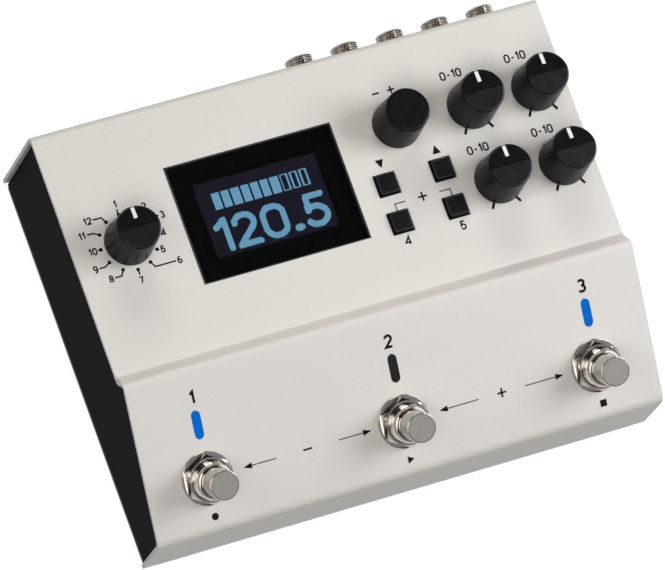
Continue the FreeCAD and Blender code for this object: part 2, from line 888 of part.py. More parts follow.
def main_board_parts():
    """Chips, tall capacitors and a connector soldered to the main board."""
    top = base_z + main_board_height + board
    y = rear_y - main_board_rear - main_board_depth / 2
    parts = [block(processor_size, processor_size, top, top + package_height, processor_x, y),
             block(header_length, header_width, top, top + header_height, header_x, y)]
    parts += [block(memory_length, memory_width, top, top + package_height, memory_x, y + side * memory_width)
              for side in (-1, 1)]
    parts += [rod(capacitor_radius, top, top + capacitor_height, capacitor_x, y + 3 * capacitor_radius * k)
              for k in (-1, 0, 1)]
    return parts


def jack_board():
    """Board along the rear wall that carries every socket."""
    low = base_z + jack_board_height
    rear = sheet + loose_gap
    return block(2 * (side_inner - loose_gap), jack_board_depth, low, low + board, 0,
                 rear_y - rear - jack_board_depth / 2)


def board_spacers():
    """Hexagonal spacers between the boards and the sheets that carry them."""
    spacers = []
    upper = hexagon(spacer_across, -control_drop, -sheet)
    beside = window_x - window_width / 2 - window_lap - spacer_room
    front = control_board_front + spacer_inset
    for x, u in ((beside, front), (beside, control_board_rear - spacer_inset),
                 ((button_left + button_right) / 2, front),
                 ((inner_column + outer_column) / 2, (knob_front_row + knob_rear_row) / 2)):
        spacers.append(on_upper(upper, x, u))
    main = hexagon(spacer_across, base_z, base_z + main_board_height)
    for side in (-1, 1):
        x = side * (side_inner - main_board_inset - spacer_inset)
        spacers.append(moved(main, x, rear_y - main_board_front + spacer_inset))
        spacers.append(moved(main, x, rear_y - main_board_rear - spacer_inset))
    low = hexagon(spacer_across, base_z, base_z + jack_board_height)
    for side in (-1, 1):
        x = side * (side_inner - jack_spacer_side)
        spacers.append(moved(low, x, rear_y - jack_board_depth + spacer_across))
    lamp = hexagon(spacer_across, -lamp_board_drop, -sheet)
    for side in (-1, 1):
        spacers.append(on_lower(lamp, side * footswitch_pitch / 2, lamp_u))
    return spacers


def ribbon_cables():
    """Flat cables: control board to main board, and main board to jack board."""
    top = base_z + main_board_height + board + fit_gap
    under = step_foot_z - control_drop - board - fit_gap
    edge = rear_y - main_board_front
    bight = edge - 3 * ribbon_bend
    first = [(edge + ribbon_lap, under), (bight, under), (bight, top), (edge + ribbon_lap, top)]
    rear = rear_y - main_board_rear
    fall = rear + ribbon_bend
    floor = board_top_z + fit_gap
    second = [(rear - ribbon_lap, top), (fall, top), (fall, floor), (fall + ribbon_lap, floor)]
    bends = [ribbon_bend, ribbon_bend]
    return [strip(first, bends, ribbon_sheet, ribbon_left - ribbon_width / 2, ribbon_width),
            strip(second, bends, ribbon_sheet, ribbon_right - ribbon_width / 2, ribbon_width)]


def jack_bushings():
    """Threaded metal sleeves of the jacks, standing out of the rear wall."""
    spigot = jack_thread_radius - jack_lead
    tail = -sheet - jack_spigot
    profile = [(jack_bore_radius + jack_lead, jack_stand), (spigot, jack_stand),
               (jack_thread_radius, jack_stand - jack_lead), (jack_thread_radius, -sheet),
               (spigot, -sheet), (spigot, tail), (jack_bore_radius, tail),
               (jack_bore_radius, jack_stand - jack_lead)]
    sleeve = turned(profile)
    return [on_rear(sleeve, x, jack_height) for x in jack_places()]


def jack_bodies():
    """Plastic jack housings on the jack board, each with a blind bore for the plug."""
    low = jack_board_height + board - jack_height
    high = jack_body_top
    box = Part.makeBox(jack_body_width, high - low, jack_body_length,
                       Vec(-jack_body_width / 2, low, -sheet - jack_body_length))
    seat = rod(jack_thread_radius - jack_lead + run_gap, -sheet - jack_spigot, -sheet)
    bore = rod(jack_well_radius, -sheet - jack_body_length + jack_back, -sheet)
    body = box.cut([seat, bore])
    return [on_rear(body, x, jack_height) for x in jack_places()]


def jack_washers():
    """Washers behind the jack nuts."""
    washer = rod(jack_washer_radius, 0, jack_washer_sheet)
    washer = washer.cut(rod(jack_thread_radius + fit_gap, 0, jack_washer_sheet))
    return [on_rear(washer, x, jack_height) for x in jack_places()]


def jack_nuts():
    """Hexagonal nuts that clamp the jacks to the rear wall."""
    nut = hexagon(jack_nut_across, jack_washer_sheet, jack_washer_sheet + jack_nut_height)
    nut = nut.cut(rod(jack_thread_radius + run_gap, 0, jack_stand))
    return [on_rear(nut, x, jack_height) for x in jack_places()]


def round_sockets():
    """Two round sockets: a housing behind the wall and a collar through it, around one deep well."""
    body = block(din_size, din_size, -sheet - din_depth, -sheet)
    collar = rod(din_collar_radius, -sheet, socket_stand)
    socket = body.fuse(collar).cut(rod(din_ring_radius, -din_well, socket_stand)).removeSplitter()
    return [on_rear(socket, x, din_height()) for x in din_places()]


def round_socket_cores():
    """Insulating cores that stand in the round wells, each with five contact holes on a half circle."""
    pins = []
    for k in range(5):
        angle = math.radians(180 + 45 * k)
        pins.append(rod(din_pin_radius, -din_well, 0, din_pin_circle * math.cos(angle),
                        din_pin_circle * math.sin(angle)))
    core = rod(din_core_radius, -din_well, 0).cut(pins)
    return [on_rear(core, x, din_height()) for x in din_places()]


def data_socket():
    """Square data socket, its two upper corners cut off inside, around a contact tongue."""
    shell = block(usb_width, usb_tall, -usb_depth, socket_stand)
    half = usb_mouth_width / 2
    tall = usb_mouth_height / 2
    outline = [Vec(-half, -tall, 0), Vec(half, -tall, 0), Vec(half, tall - usb_corner, 0),
               Vec(half - usb_corner, tall, 0), Vec(-half + usb_corner, tall, 0),
               Vec(-half, tall - usb_corner, 0)]
    deep = usb_depth - usb_back
    mouth = moved(polygon(outline), z=-deep).extrude(Vec(0, 0, deep + sheet))
    tongue = block(usb_tongue_width, usb_tongue_height, -deep, -usb_tongue_set)
    return on_rear(shell.cut(mouth.cut(tongue)), usb_x, usb_height())


def power_inlet():
    """Barrel inlet for the mains adaptor: one round well around a centre pin with a tapered nose."""
    body = block(dc_width, dc_tall, -sheet - dc_depth, -sheet)
    collar = rod(dc_collar, -sheet, socket_stand)
    floor = -dc_depth + dc_back
    pin = turned([(0, floor), (dc_pin, floor), (dc_pin, -dc_pin_set - dc_pin), (dc_pin / 2, -dc_pin_set),
                  (0, -dc_pin_set)])
    well = rod(dc_bore, floor, socket_stand).cut(pin)
    return on_rear(body.fuse(collar).cut(well).removeSplitter(), dc_x, dc_height())


def power_switch_body():
    """Housing of the push-push power switch, with a square well for its button."""
    body = block(power_size, power_size, -sheet - power_depth, -sheet)
    key = power_button_size + 2 * fit_gap
    well = block(key, key, -sheet - power_depth / 2 - power_travel, 0)
    return on_rear(body.cut(well), power_x, power_height())


def power_button():
    """Square button of the power switch."""
    stem = block(power_button_size, power_button_size, -sheet - power_depth / 2 + fit_gap, power_button_stand)
    face = [edge for edge in stem.Edges if edge.BoundBox.ZMin > power_button_stand - fit_gap]
    return on_rear(stem.makeChamfer(power_edge, face), power_x, power_height())


def save(name, shape):
    """Writes one node: a solid, or a group of separate solids."""
    if isinstance(shape, list):
        shape = Part.makeCompound([solid for item in shape for solid in item.Solids])
    shape.exportStep("parts/" + name + ".step")


def main():
    os.makedirs("parts", exist_ok=True)
    for make in (top_cover, left_side_panel, right_side_panel, bottom_plate, bottom_screws, rubber_feet,
                 battery_box, battery_contacts, battery_cover, display_window, display_module,
                 potentiometer_bodies, value_encoder_body, mode_switch_body, tact_switches,
                 footswitch_bushings, footswitch_nuts, footswitch_washers, footswitch_bodies,
                 lit_lamp_lenses, unlit_lamp_lens, lamp_board, control_board, main_board,
                 main_board_parts, jack_board, board_spacers, ribbon_cables, jack_bushings, jack_bodies,
                 jack_washers, jack_nuts, round_sockets, round_socket_cores, data_socket, power_inlet,
                 power_switch_body, power_button):
        save(make.__name__, make())
    for name, (x, u) in knob_places().items():
        save(name + "_knob", on_upper(knob(name != "value"), x, u))
        save(name + "_shaft", on_upper(knob_shaft(), x, u))
    for name, (x, u) in button_places().items():
        save(name + "_button", on_upper(push_button(), x, u))
    for name, x in footswitch_places().items():
        save(name + "_footswitch_plunger", moved(plunger(), x=x))
        save(name + "_footswitch_spring", moved(return_spring(), x=x))


main()
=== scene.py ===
import math

import bmesh
import bpy
import numpy as np
from mathutils import Matrix, Vector


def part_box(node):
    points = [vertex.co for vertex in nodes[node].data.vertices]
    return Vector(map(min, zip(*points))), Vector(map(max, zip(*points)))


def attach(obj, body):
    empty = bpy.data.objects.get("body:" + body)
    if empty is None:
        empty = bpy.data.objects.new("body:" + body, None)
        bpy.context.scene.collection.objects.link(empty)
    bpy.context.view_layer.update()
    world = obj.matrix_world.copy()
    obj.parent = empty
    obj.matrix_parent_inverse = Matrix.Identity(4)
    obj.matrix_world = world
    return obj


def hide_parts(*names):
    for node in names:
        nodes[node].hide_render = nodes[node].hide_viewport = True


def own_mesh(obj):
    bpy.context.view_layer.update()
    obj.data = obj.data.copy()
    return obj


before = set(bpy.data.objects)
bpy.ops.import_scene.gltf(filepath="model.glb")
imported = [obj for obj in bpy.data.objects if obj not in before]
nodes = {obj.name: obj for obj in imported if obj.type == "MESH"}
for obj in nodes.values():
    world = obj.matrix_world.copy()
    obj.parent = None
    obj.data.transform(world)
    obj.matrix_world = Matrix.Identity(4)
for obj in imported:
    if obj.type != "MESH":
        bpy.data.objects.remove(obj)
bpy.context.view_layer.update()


# Wrapped cover
# One strip of sheet steel, bent round the unit from the front lip over the raised step to the rear
# wall, pierced for the controls, painted satin pearl white and screwed by its flanges to the plate.
# The foot of the step is eased by a filled slope, and over the rear bend the paint is greyer as painted
# shade of the bend.
mm = 0.001
front_edge = (-68.85, 29.4)
step_crest = (-22.15, 51.65)
step_foot = (-19.55, 46.85)
rear_edge = (61.05, 47.6)
edge_softness = 0.3


def linear(red, green, blue):
    """Linear colour from screen values between 0 and 255."""
    screen = np.array([red, green, blue]) / 255
    low = screen / 12.92
    high = ((screen + 0.055) / 1.055) ** 2.4
    return np.where(screen < 0.04045, low, high)


def new_finish(name, colour, roughness, metallic=0.0, specular=0.5):
    """Plain material of one colour; the helpers below add its texture."""
    made = bpy.data.materials.new(name)
    made.use_nodes = True
    shader = made.node_tree.nodes["Principled BSDF"]
    shader.inputs["Base Color"].default_value = (*linear(*colour), 1)
    shader.inputs["Roughness"].default_value = roughness
    shader.inputs["Metallic"].default_value = metallic
    shader.inputs["Specular IOR Level"].default_value = specular
    return made


def noise(made, scale, detail=2.0, stretch=(1, 1, 1)):
    """Noise on object coordinates, in cycles per metre, longer along the axes with a small stretch."""
    tree = made.node_tree
    place = tree.nodes.new("ShaderNodeTexCoord")
    mapping = tree.nodes.new("ShaderNodeMapping")
    mapping.inputs["Scale"].default_value = stretch
    pattern = tree.nodes.new("ShaderNodeTexNoise")
    pattern.inputs["Scale"].default_value = scale
    pattern.inputs["Detail"].default_value = detail
    tree.links.new(place.outputs["Object"], mapping.inputs["Vector"])
    tree.links.new(mapping.outputs["Vector"], pattern.inputs["Vector"])
    return pattern.outputs["Fac"]


def mottle(made, scale, spread, **grain):
    """Base colour that wanders in a noise by a small share either side of its own value."""
    pattern = noise(made, scale, **grain)
    tree = made.node_tree
    socket = tree.nodes["Principled BSDF"].inputs["Base Color"]
    middle = np.array(socket.default_value[:3])
    ramp = tree.nodes.new("ShaderNodeValToRGB")
    ramp.color_ramp.elements[0].position = 0.3
    ramp.color_ramp.elements[1].position = 0.7
    ramp.color_ramp.elements[0].color = (*(middle * (1 - spread)), 1)
    ramp.color_ramp.elements[1].color = (*(middle * (1 + spread)), 1)
    tree.links.new(pattern, ramp.inputs["Fac"])
    tree.links.new(ramp.outputs["Color"], socket)


def relief(made, scale, depth, strength, **grain):
    """Bump that follows a noise, of a stated depth in metres."""
    pattern = noise(made, scale, **grain)
    tree = made.node_tree
    bump = tree.nodes.new("ShaderNodeBump")
    bump.inputs["Strength"].default_value = strength
    bump.inputs["Distance"].default_value = depth
    tree.links.new(pattern, bump.inputs["Height"])
    tree.links.new(bump.outputs["Normal"], tree.nodes["Principled BSDF"].inputs["Normal"])


def sprayed_paint(name, colour):
    """Satin paint, faintly mottled, with the fine relief of a sprayed coat."""
    made = new_finish(name, colour, 0.42)
    mottle(made, 900, 0.012)
    relief(made, 2600, 0.00002, 0.25)
    return made


def close_mesh(mesh, crease):
    """Joins doubled points, turns faces outwards and keeps edges sharper than the crease angle crisp."""
    body = bmesh.new()
    body.from_mesh(mesh)
    bmesh.ops.remove_doubles(body, verts=body.verts, dist=2e-7)
    bmesh.ops.dissolve_degenerate(body, edges=body.edges, dist=1e-7)
    bmesh.ops.recalc_face_normals(body, faces=body.faces)
    body.to_mesh(mesh)
    body.free()
    mesh.shade_smooth()
    mesh.set_sharp_from_angle(angle=math.radians(crease))


def add_piece(mesh, finish, body):
    """Puts a finished mesh into the scene on the body that carries it."""
    mesh.materials.clear()
    mesh.materials.append(finish)
    piece = bpy.data.objects.new(mesh.name, mesh)
    bpy.context.scene.collection.objects.link(piece)
    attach(piece, body)
    return piece


def smoothed(node, finish, body="case", crease=25.0, softened=0.0):
    """Copy of a CAD piece that stands for it: its flat triangles are joined, its bends shaded smooth,
    and its sharp edges rounded by the given radius in millimetres."""
    mesh = nodes[node].data.copy()
    mesh.name = node + "_finished"
    if softened:
        whole = bmesh.new()
        whole.from_mesh(mesh)
        bmesh.ops.remove_doubles(whole, verts=whole.verts, dist=2e-6)
        bmesh.ops.dissolve_limit(whole, angle_limit=math.radians(0.3), verts=whole.verts,
                                 edges=whole.edges)
        whole.to_mesh(mesh)
        whole.free()
    close_mesh(mesh, crease)
    piece = add_piece(mesh, finish, body)
    if softened:
        edges = piece.modifiers.new("softened_edges", "BEVEL")
        edges.width = softened * mm
        edges.segments = 2
        edges.limit_method = "ANGLE"
        edges.angle_limit = math.radians(50)
        edges.harden_normals = True
    else:
        even = piece.modifiers.new("even_shading", "WEIGHTED_NORMAL")
        even.keep_sharp = True
    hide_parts(node)
    return piece


def to_world(place, points):
    """Applies a frame to an array of local points in millimetres."""
    matrix = np.array(place)
    return points @ matrix[:3, :3].T + matrix[:3, 3]


def second_finish(piece, place, finish, chosen):
    """Gives another finish to the faces whose middles, as an array in a local frame, pass a test."""
    mesh = piece.data
    mesh.materials.append(finish)
    middles = np.empty(3 * len(mesh.polygons))
    mesh.polygons.foreach_get("center", middles)
    finishes = np.empty(len(mesh.polygons), np.int32)
    mesh.polygons.foreach_get("material_index", finishes)
    finishes[chosen(to_world(place.inverted(), middles.reshape(-1, 3)))] = len(mesh.materials) - 1
    mesh.polygons.foreach_set("material_index", finishes)


pearl_paint = sprayed_paint("pearl_paint", (219, 216, 211))
# Painted shade: the faces over the rear bend take a greyer paint that stands in for the shade of the
# rounded bend.
bend_painted_shade = sprayed_paint("bend_painted_shade", (205, 202, 196))
millimetres = Matrix.Scale(mm, 4)
rear_bend = (59.46, 45.9)
cover = smoothed("top_cover", pearl_paint, softened=edge_softness)
second_finish(cover, millimetres, bend_painted_shade, lambda point: (point[:, 1:] > rear_bend).all(axis=1))


def grid_faces(rows, columns, closed=True):
    """Quads between neighbouring points of a grid stored row by row."""
    index = np.arange(rows * columns).reshape(rows, columns)
    if closed:
        index = np.column_stack([index, index[:, 0]])
    quads = np.stack([index[:-1, :-1], index[:-1, 1:], index[1:, 1:], index[1:, :-1]], axis=-1)
    return quads.reshape(-1, 4).tolist()


def joined(name, grids, place, finish, body, crease=28.0):
    """One mesh from point grids (rows, columns, 3) in local millimetres, whose seams are then closed."""
    points = []
    faces = []
    first = 0
    for grid, closed in grids:
        rows, columns = grid.shape[:2]
        points.append(grid.reshape(-1, 3))
        faces += [tuple(first + k for k in quad) for quad in grid_faces(rows, columns, closed)]
        first += rows * columns
    mesh = bpy.data.meshes.new(name)
    mesh.from_pydata(to_world(place, np.vstack(points)).tolist(), [], faces)
    close_mesh(mesh, crease)
    return add_piece(mesh, finish, body)


def eased(profile, radius, steps=4):
    """Profile with each inner corner P drawn as the curve (1-t)^2 A + 2t(1-t) P + t^2 B, where A and B
    lie a radius away from P on its two runs."""
    chain = np.asarray(profile, float)
    rounded = [chain[:1]]
    t = np.linspace(0, 1, steps)[:, None]
    for before, corner, after in zip(chain, chain[1:], chain[2:]):
        back = before - corner
        ahead = after - corner
        reach = min(radius, 0.45 * np.linalg.norm(back), 0.45 * np.linalg.norm(ahead))
        start = corner + back * reach / np.linalg.norm(back)
        end = corner + ahead * reach / np.linalg.norm(ahead)
        rounded.append((1 - t) ** 2 * start + 2 * t * (1 - t) * corner + t ** 2 * end)
    rounded.append(chain[-1:])
    return np.vstack(rounded)


step_bend = (-23.09, 48.766)
step_bend_radius = 2.2
slope_angle = math.radians(48)
slope_radius = 0.9
slope_half = 84.75
slope_sunk = 0.5
slope_skin = 0.005


def filled_slope():
    """Ring (y, z) at both ends of the cover, each closed on its own middle: it leaves the crest's bend as
    its tangent at the slope's angle, curves into the line of the upper panel and turns back below it."""
    out = np.array((math.sin(slope_angle), math.cos(slope_angle)))
    down = np.array((math.cos(slope_angle), -math.sin(slope_angle)))
    level = np.subtract(rear_edge, step_foot) / math.dist(rear_edge, step_foot)
    start = np.array(step_bend) + (step_bend_radius + slope_skin) * out
    fall = np.linalg.solve(np.column_stack([down, -level]), step_foot - start + (0, slope_skin))[0]
    corner = start + fall * down
    slope = eased([start, corner, corner + level], slope_radius, 8)[:-1]
    below = (0, -slope_sunk)
    ring = np.vstack([slope, slope[-1:] + below, np.array([step_foot]) + below, start - slope_sunk * out])
    ends = np.array([np.column_stack([np.full(len(ring), side * slope_half), ring]) for side in (-1, 1)])
    middle = ends.mean(axis=1, keepdims=True) + 0 * ends
    return np.array([middle[0], ends[0], ends[1], middle[1]])


joined("step_foot_slope", [(filled_slope(), True)], millimetres, pearl_paint, "case")


# Panel printing
# Black screen print on the two panels: dial dots with leaders, end ticks, arrows, brackets and plain
# numbers. Each mark is a flat film of ink, a few hundredths of a millimetre proud of the paint.
ink_lift = 0.03


def panel_frame(foot, head):
    """Frame of a sloping panel, from its millimetres to metres: x right, y up the panel, z out of it."""
    slope = math.atan2(head[1] - foot[1], head[0] - foot[0])
    place = Matrix.Translation((0, foot[0] * mm, foot[1] * mm))
    return place @ Matrix.Rotation(slope, 4, "X") @ Matrix.Scale(mm, 4)


upper_panel = panel_frame(step_foot, rear_edge)
lower_panel = panel_frame(front_edge, step_crest)


def seat_of(panel, node):
    """Place on a panel, in its own millimetres, of the middle of a node's box."""
    low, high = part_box(node)
    local = panel.inverted() @ ((Vector(low) + Vector(high)) / 2)
    return np.array([local.x, local.y])


def stroke(points, width):
    """Band along a chain of points; at each corner both edges meet on the mitre, half the width away."""
    line = np.array(points, float)
    run = np.diff(line, axis=0)
    run /= np.linalg.norm(run, axis=1)[:, None]
    side = np.stack([-run[:, 1], run[:, 0]], axis=1)
    before = np.vstack([side[:1], side])
    after = np.vstack([side, side[-1:]])
    mitre = (before + after) / (1 + np.sum(before * after, axis=1))[:, None]
    corners = np.stack([line - mitre * width / 2, line + mitre * width / 2], axis=1).reshape(-1, 2)
    faces = [(2 * k, 2 * k + 2, 2 * k + 3, 2 * k + 1) for k in range(len(line) - 1)]
    return corners, faces


def disc(centre, radius, sides=20):
    """Flat round spot: centre + radius * (cos, sin) of even angles."""
    angle = np.linspace(0, 2 * np.pi, sides, endpoint=False)
    corners = np.array(centre) + radius * np.stack([np.cos(angle), np.sin(angle)], axis=1)
    return corners, [tuple(range(sides))]


def outline(points):
    """Flat patch with the given corners, in order."""
    return np.array(points, float), [tuple(range(len(points)))]


def rectangle(centre, width, height):
    """Flat patch whose corners lie half the width and half the height from the centre."""
    signs = np.array([(-1, -1), (1, -1), (1, 1), (-1, 1)])
    return outline(np.array(centre) + signs * (width / 2, height / 2))


def dash(centre, half, width):
    """Level stroke that reaches half its length either side of the centre."""
    return stroke([np.subtract(centre, (half, 0)), np.add(centre, (half, 0))], width)


def cross(centre, half, width):
    """Plus sign: a level and an upright stroke over the same centre."""
    upright = stroke([np.subtract(centre, (0, half)), np.add(centre, (0, half))], width)
    return [dash(centre, half, width), upright]


def curve(centre, reach, start, end, count=18):
    """Points centre + reach * (cos, sin) of angles from start to end, in degrees."""
    angle = np.radians(np.linspace(start, end, count))
    points = np.array(centre) + np.stack([np.cos(angle), np.sin(angle)], axis=1) * reach
    return [tuple(point) for point in points]


numerals = {
    "0": [curve((0.3, 0.7), (0.3, 0.3), 0, 180) + curve((0.3, 0.3), (0.3, 0.3), 180, 360) + [(0.6, 0.7)]],
    "1": [[(0.1, 0.78), (0.36, 1.0), (0.36, 0.0)]],
    "2": [curve((0.3, 0.72), (0.28, 0.28), 170, -35) + [(0.02, 0.0), (0.6, 0.0)]],
    "3": [curve((0.28, 0.76), (0.26, 0.24), 150, -90), curve((0.28, 0.26), (0.3, 0.26), 90, -150)],
    "4": [[(0.54, 0.0), (0.54, 1.0), (0.0, 0.27), (0.72, 0.27)]],
    "5": [[(0.56, 1.0), (0.12, 1.0), (0.07, 0.5)] + curve((0.28, 0.31), (0.31, 0.31), 120, -145)],
    "6": [curve((0.36, 0.62), (0.34, 0.38), 70, 180) + curve((0.3, 0.3), (0.28, 0.3), 185, 520, 30)],
    "7": [[(0.02, 1.0), (0.58, 1.0), (0.2, 0.0)]],
    "8": [curve((0.3, 0.76), (0.24, 0.24), -90, 270, 28), curve((0.3, 0.26), (0.29, 0.26), 90, 450, 28)],
    "9": [curve((0.24, 0.38), (0.34, 0.38), -110, 0) + curve((0.3, 0.7), (0.28, 0.3), 5, 340, 30)],
    ".": [[(0.0, 0.06), (0.12, 0.06)]],
    "-": [[(0.0, 0.45), (0.36, 0.45)]],
}


def set_out(text, centre, height, width, stretch=1.0):
    """Chains of plain numerals in a row, centred on a point, with room between them for a stroke width."""
    placed = []
    across = 0.0
    space = 1.15 * width + 0.08 * height
    for sign in text:
        chains = [np.array(chain) for chain in numerals[sign]]
        left = min(chain[:, 0].min() for chain in chains)
        right = max(chain[:, 0].max() for chain in chains)
        placed += [(chain - (left, 0)) * (height * stretch, height) + (across, 0) for chain in chains]
        across += (right - left) * height * stretch + space
    middle = ((across - space) / 2, height / 2)
    return [chain - middle + centre for chain in placed]


def figures(text, centre, height, width):
    """Plain numerals as bands of the given width along their chains."""
    return [stroke(chain, width) for chain in set_out(text, centre, height, width)]


def film(name, marks, place, height, finish):
    """Joins flat marks into one mesh on the case, at a height above a panel frame, facing out of it."""
    corners = []
    faces = []
    first = 0
    for flat, patches in marks:
        corners.append(flat)
        faces += [tuple(first + k for k in patch) for patch in patches]
        first += len(flat)
    flat = np.vstack(corners)
    points = np.column_stack([flat, np.full(len(flat), height)])
    mesh = bpy.data.meshes.new(name)
    mesh.from_pydata(to_world(place, points).tolist(), [], faces)
    outward = Vector(np.array(place)[:3, 2])
    whole = bmesh.new()
    whole.from_mesh(mesh)
    inward_faces = [face for face in whole.faces if face.normal.dot(outward) < 0]
    bmesh.ops.reverse_faces(whole, faces=inward_faces)
    whole.to_mesh(mesh)
    whole.free()
    return add_piece(mesh, finish, "case")


ink = new_finish("printing_ink", (17, 16, 16), 0.6, specular=0.1)
mottle(ink, 1500, 0.1)

dial_centre = np.array((-66.7, 40.7))
dot_circle = 9.05
dot_radius = 0.6
leader_width = 0.5
elbow_circle = 11.1
straight_circle = 10.8
leader_reach = {2: 7.4, 3: 12.0, 4: 10.4, 5: 8.5, 6: 12.4, 8: 7.8, 9: 11.5, 10: 9.9, 11: 11.6, 12: 8.3}
dial_height = 1.9
dial_weight = 0.47
straight_gap = 1.7
side_gap = 1.2
second_digit = 0.55
upper_marks = []
# A leader runs out along its ray to an elbow, then level to its number; a short one stays on the ray.
for hour in range(1, 13):
    turn = math.radians(30 * (hour - 1))
    ray = np.array([math.sin(turn), math.cos(turn)])
    dot = dial_centre + dot_circle * ray
    upper_marks.append(disc(dot, dot_radius))
    if hour in (1, 7):
        end = dial_centre + straight_circle * ray
        upper_marks.append(stroke([dot, end], leader_width))
        upper_marks += figures(str(hour), end + straight_gap * ray, dial_height, dial_weight)
        continue
    side = np.sign(round(ray[0], 6))
    reach = leader_reach[hour] * side
    elbow = elbow_circle * ray
    chain = [dot, dial_centre + elbow, dial_centre + (reach, elbow[1])]
    if abs(elbow[0]) > abs(reach):
        chain = [dot, dial_centre + ray * reach / ray[0]]
    upper_marks.append(stroke(chain, leader_width))
    beside = side * (side_gap + second_digit * (hour > 9))
    upper_marks += figures(str(hour), chain[-1] + (beside, 0), dial_height, dial_weight)

range_knobs = ("feedback", "level", "tone", "depth")
range_text_place = (-2.6, 11.4)
range_height = 2.4
range_weight = 0.52
tick_width = 0.85
tick_start = 7.5
tick_end = 9.6
end_stop = math.radians(150)
knob_seats = {name: seat_of(upper_panel, name + "_shaft") for name in ("mode", "value") + range_knobs}
for name in range_knobs:
    seat = knob_seats[name]
    for turn in (end_stop, -end_stop):
        ray = np.array([math.sin(turn), math.cos(turn)])
        upper_marks.append(stroke([seat + tick_start * ray, seat + tick_end * ray], tick_width))
    upper_marks += figures("0-10", seat + range_text_place, range_height, range_weight)

minus_place = (-2.7, 11.3)
plus_place = (2.4, 11.3)
value_sign_half = 1.2
value_sign_width = 0.55
upper_marks.append(dash(knob_seats["value"] + minus_place, value_sign_half, value_sign_width))
upper_marks += cross(knob_seats["value"] + plus_place, value_sign_half, value_sign_width)

key_seats = {name: seat_of(upper_panel, name + "_button") for name in ("down", "up", "exit", "edit")}
key_columns = (18.2, 36.8)
arrow_half = 1.4
for column, row, arrow_height in ((key_columns[0], 44.4, -2.8), (key_columns[1], 41.4, 2.8)):
    upper_marks.append(outline([(column - arrow_half, row), (column + arrow_half, row),
                                (column, row + arrow_height)]))

bracket_top = 29.6
bracket_foot = 27.1
bracket_reach = 3.6
bracket_width = 0.34
sign_half = 1.5
sign_width = 0.6
for column, way in zip(key_columns, (1, -1)):
    corner = (column, bracket_top)
    bracket = [(column, bracket_foot), corner, (column + way * bracket_reach, bracket_top)]
    upper_marks.append(stroke(bracket, bracket_width))
upper_marks += cross((sum(key_columns) / 2, bracket_top), sign_half, sign_width)

key_number_row = 17.4
key_number_height = 2.5
for column, number in zip(key_columns, "45"):
    upper_marks += figures(number, (column, key_number_row), key_number_height, range_weight)
film("upper_printing", upper_marks, upper_panel, ink_lift, ink)

switch_seats = {name: seat_of(lower_panel, name + "_footswitch_plunger")
                for name in ("left", "centre", "right")}
switch_row = switch_seats["centre"][1]
lamp_shift = 0.6
lamp_columns = [seat[0] + lamp_shift for seat in switch_seats.values()]
lamp_number_row = 42.05
lamp_number_height = 3.6
lamp_number_weight = 0.82
lower_marks = []
for column, number in zip(lamp_columns, "123"):
    lower_marks += figures(number, (column, lamp_number_row), lamp_number_height, lamp_number_weight)

shaft_width = 0.32
shaft_inset = 1.0
head_length = 2.8
head_half = 0.95
for left, left_end, right_end, right in ((-53.3, -42.3, -21.6, -10.6), (12.2, 25.5, 41.1, 54.3)):
    lower_marks.append(stroke([(left + shaft_inset, switch_row), (left_end, switch_row)], shaft_width))
    lower_marks.append(stroke([(right_end, switch_row), (right - shaft_inset, switch_row)], shaft_width))
    for tip, way in ((left, 1), (right, -1)):
        back = tip + way * head_length
        lower_marks.append(outline([(tip, switch_row), (back, switch_row - way * head_half),
                                    (back, switch_row + way * head_half)]))
    middle = ((left_end + right_end) / 2, switch_row)
    signs = cross(middle, sign_half, sign_width)
    lower_marks += signs if left > 0 else signs[:1]

symbol_row = 4.55
spot_radius = 1.15
triangle_back = -1.0
triangle_half = 1.2
square_side = 2.2
lower_marks.append(disc((switch_seats["left"][0], symbol_row), spot_radius, 32))
lower_marks.append(outline([(triangle_back, symbol_row - triangle_half), (triangle_half, symbol_row),
                            (triangle_back, symbol_row + triangle_half)]))
lower_marks.append(rectangle((switch_seats["right"][0], symbol_row), square_side, square_side))
film("lower_printing", lower_marks, lower_panel, ink_lift, ink)


# Side panels and underside
# Moulded black plastic end walls, set in from the cover's cut edges, over a black painted steel plate
# with zinc-plated screws, turned rubber feet and the clip-in cover of the battery bay.
side_plastic = new_finish("side_plastic", (25, 25, 28), 0.6, specular=0.01)
mottle(side_plastic, 1400, 0.14, detail=4)
relief(side_plastic, 3500, 0.00003, 0.4, detail=4)
smoothed("left_side_panel", side_plastic, softened=edge_softness)
smoothed("right_side_panel", side_plastic, softened=edge_softness)

black_paint = new_finish("black_paint", (28, 28, 29), 0.5)
mottle(black_paint, 400, 0.06)
relief(black_paint, 2600, 0.00003, 0.5, detail=4)
smoothed("bottom_plate", black_paint)

black_moulding = new_finish("black_moulding", (26, 26, 27), 0.5)
mottle(black_moulding, 600, 0.06)
relief(black_moulding, 3000, 0.00002, 0.4, detail=3)
smoothed("battery_cover", black_moulding, "battery_cover", crease=8.0)
smoothed("battery_box", black_moulding)

foot_rubber = new_finish("foot_rubber", (30, 30, 30), 0.8, specular=0.3)
mottle(foot_rubber, 1200, 0.1)
relief(foot_rubber, 5000, 0.00004, 0.6, detail=4)
smoothed("rubber_feet", foot_rubber)


def gloss(made, scale, low, high, **grain):
    """Roughness that wanders in a noise between two values."""
    pattern = noise(made, scale, **grain)
    tree = made.node_tree
    spread = tree.nodes.new("ShaderNodeMapRange")
    spread.inputs["From Min"].default_value = 0.3
    spread.inputs["From Max"].default_value = 0.7
    spread.inputs["To Min"].default_value = low
    spread.inputs["To Max"].default_value = high
    tree.links.new(pattern, spread.inputs["Value"])
    tree.links.new(spread.outputs["Result"], tree.nodes["Principled BSDF"].inputs["Roughness"])


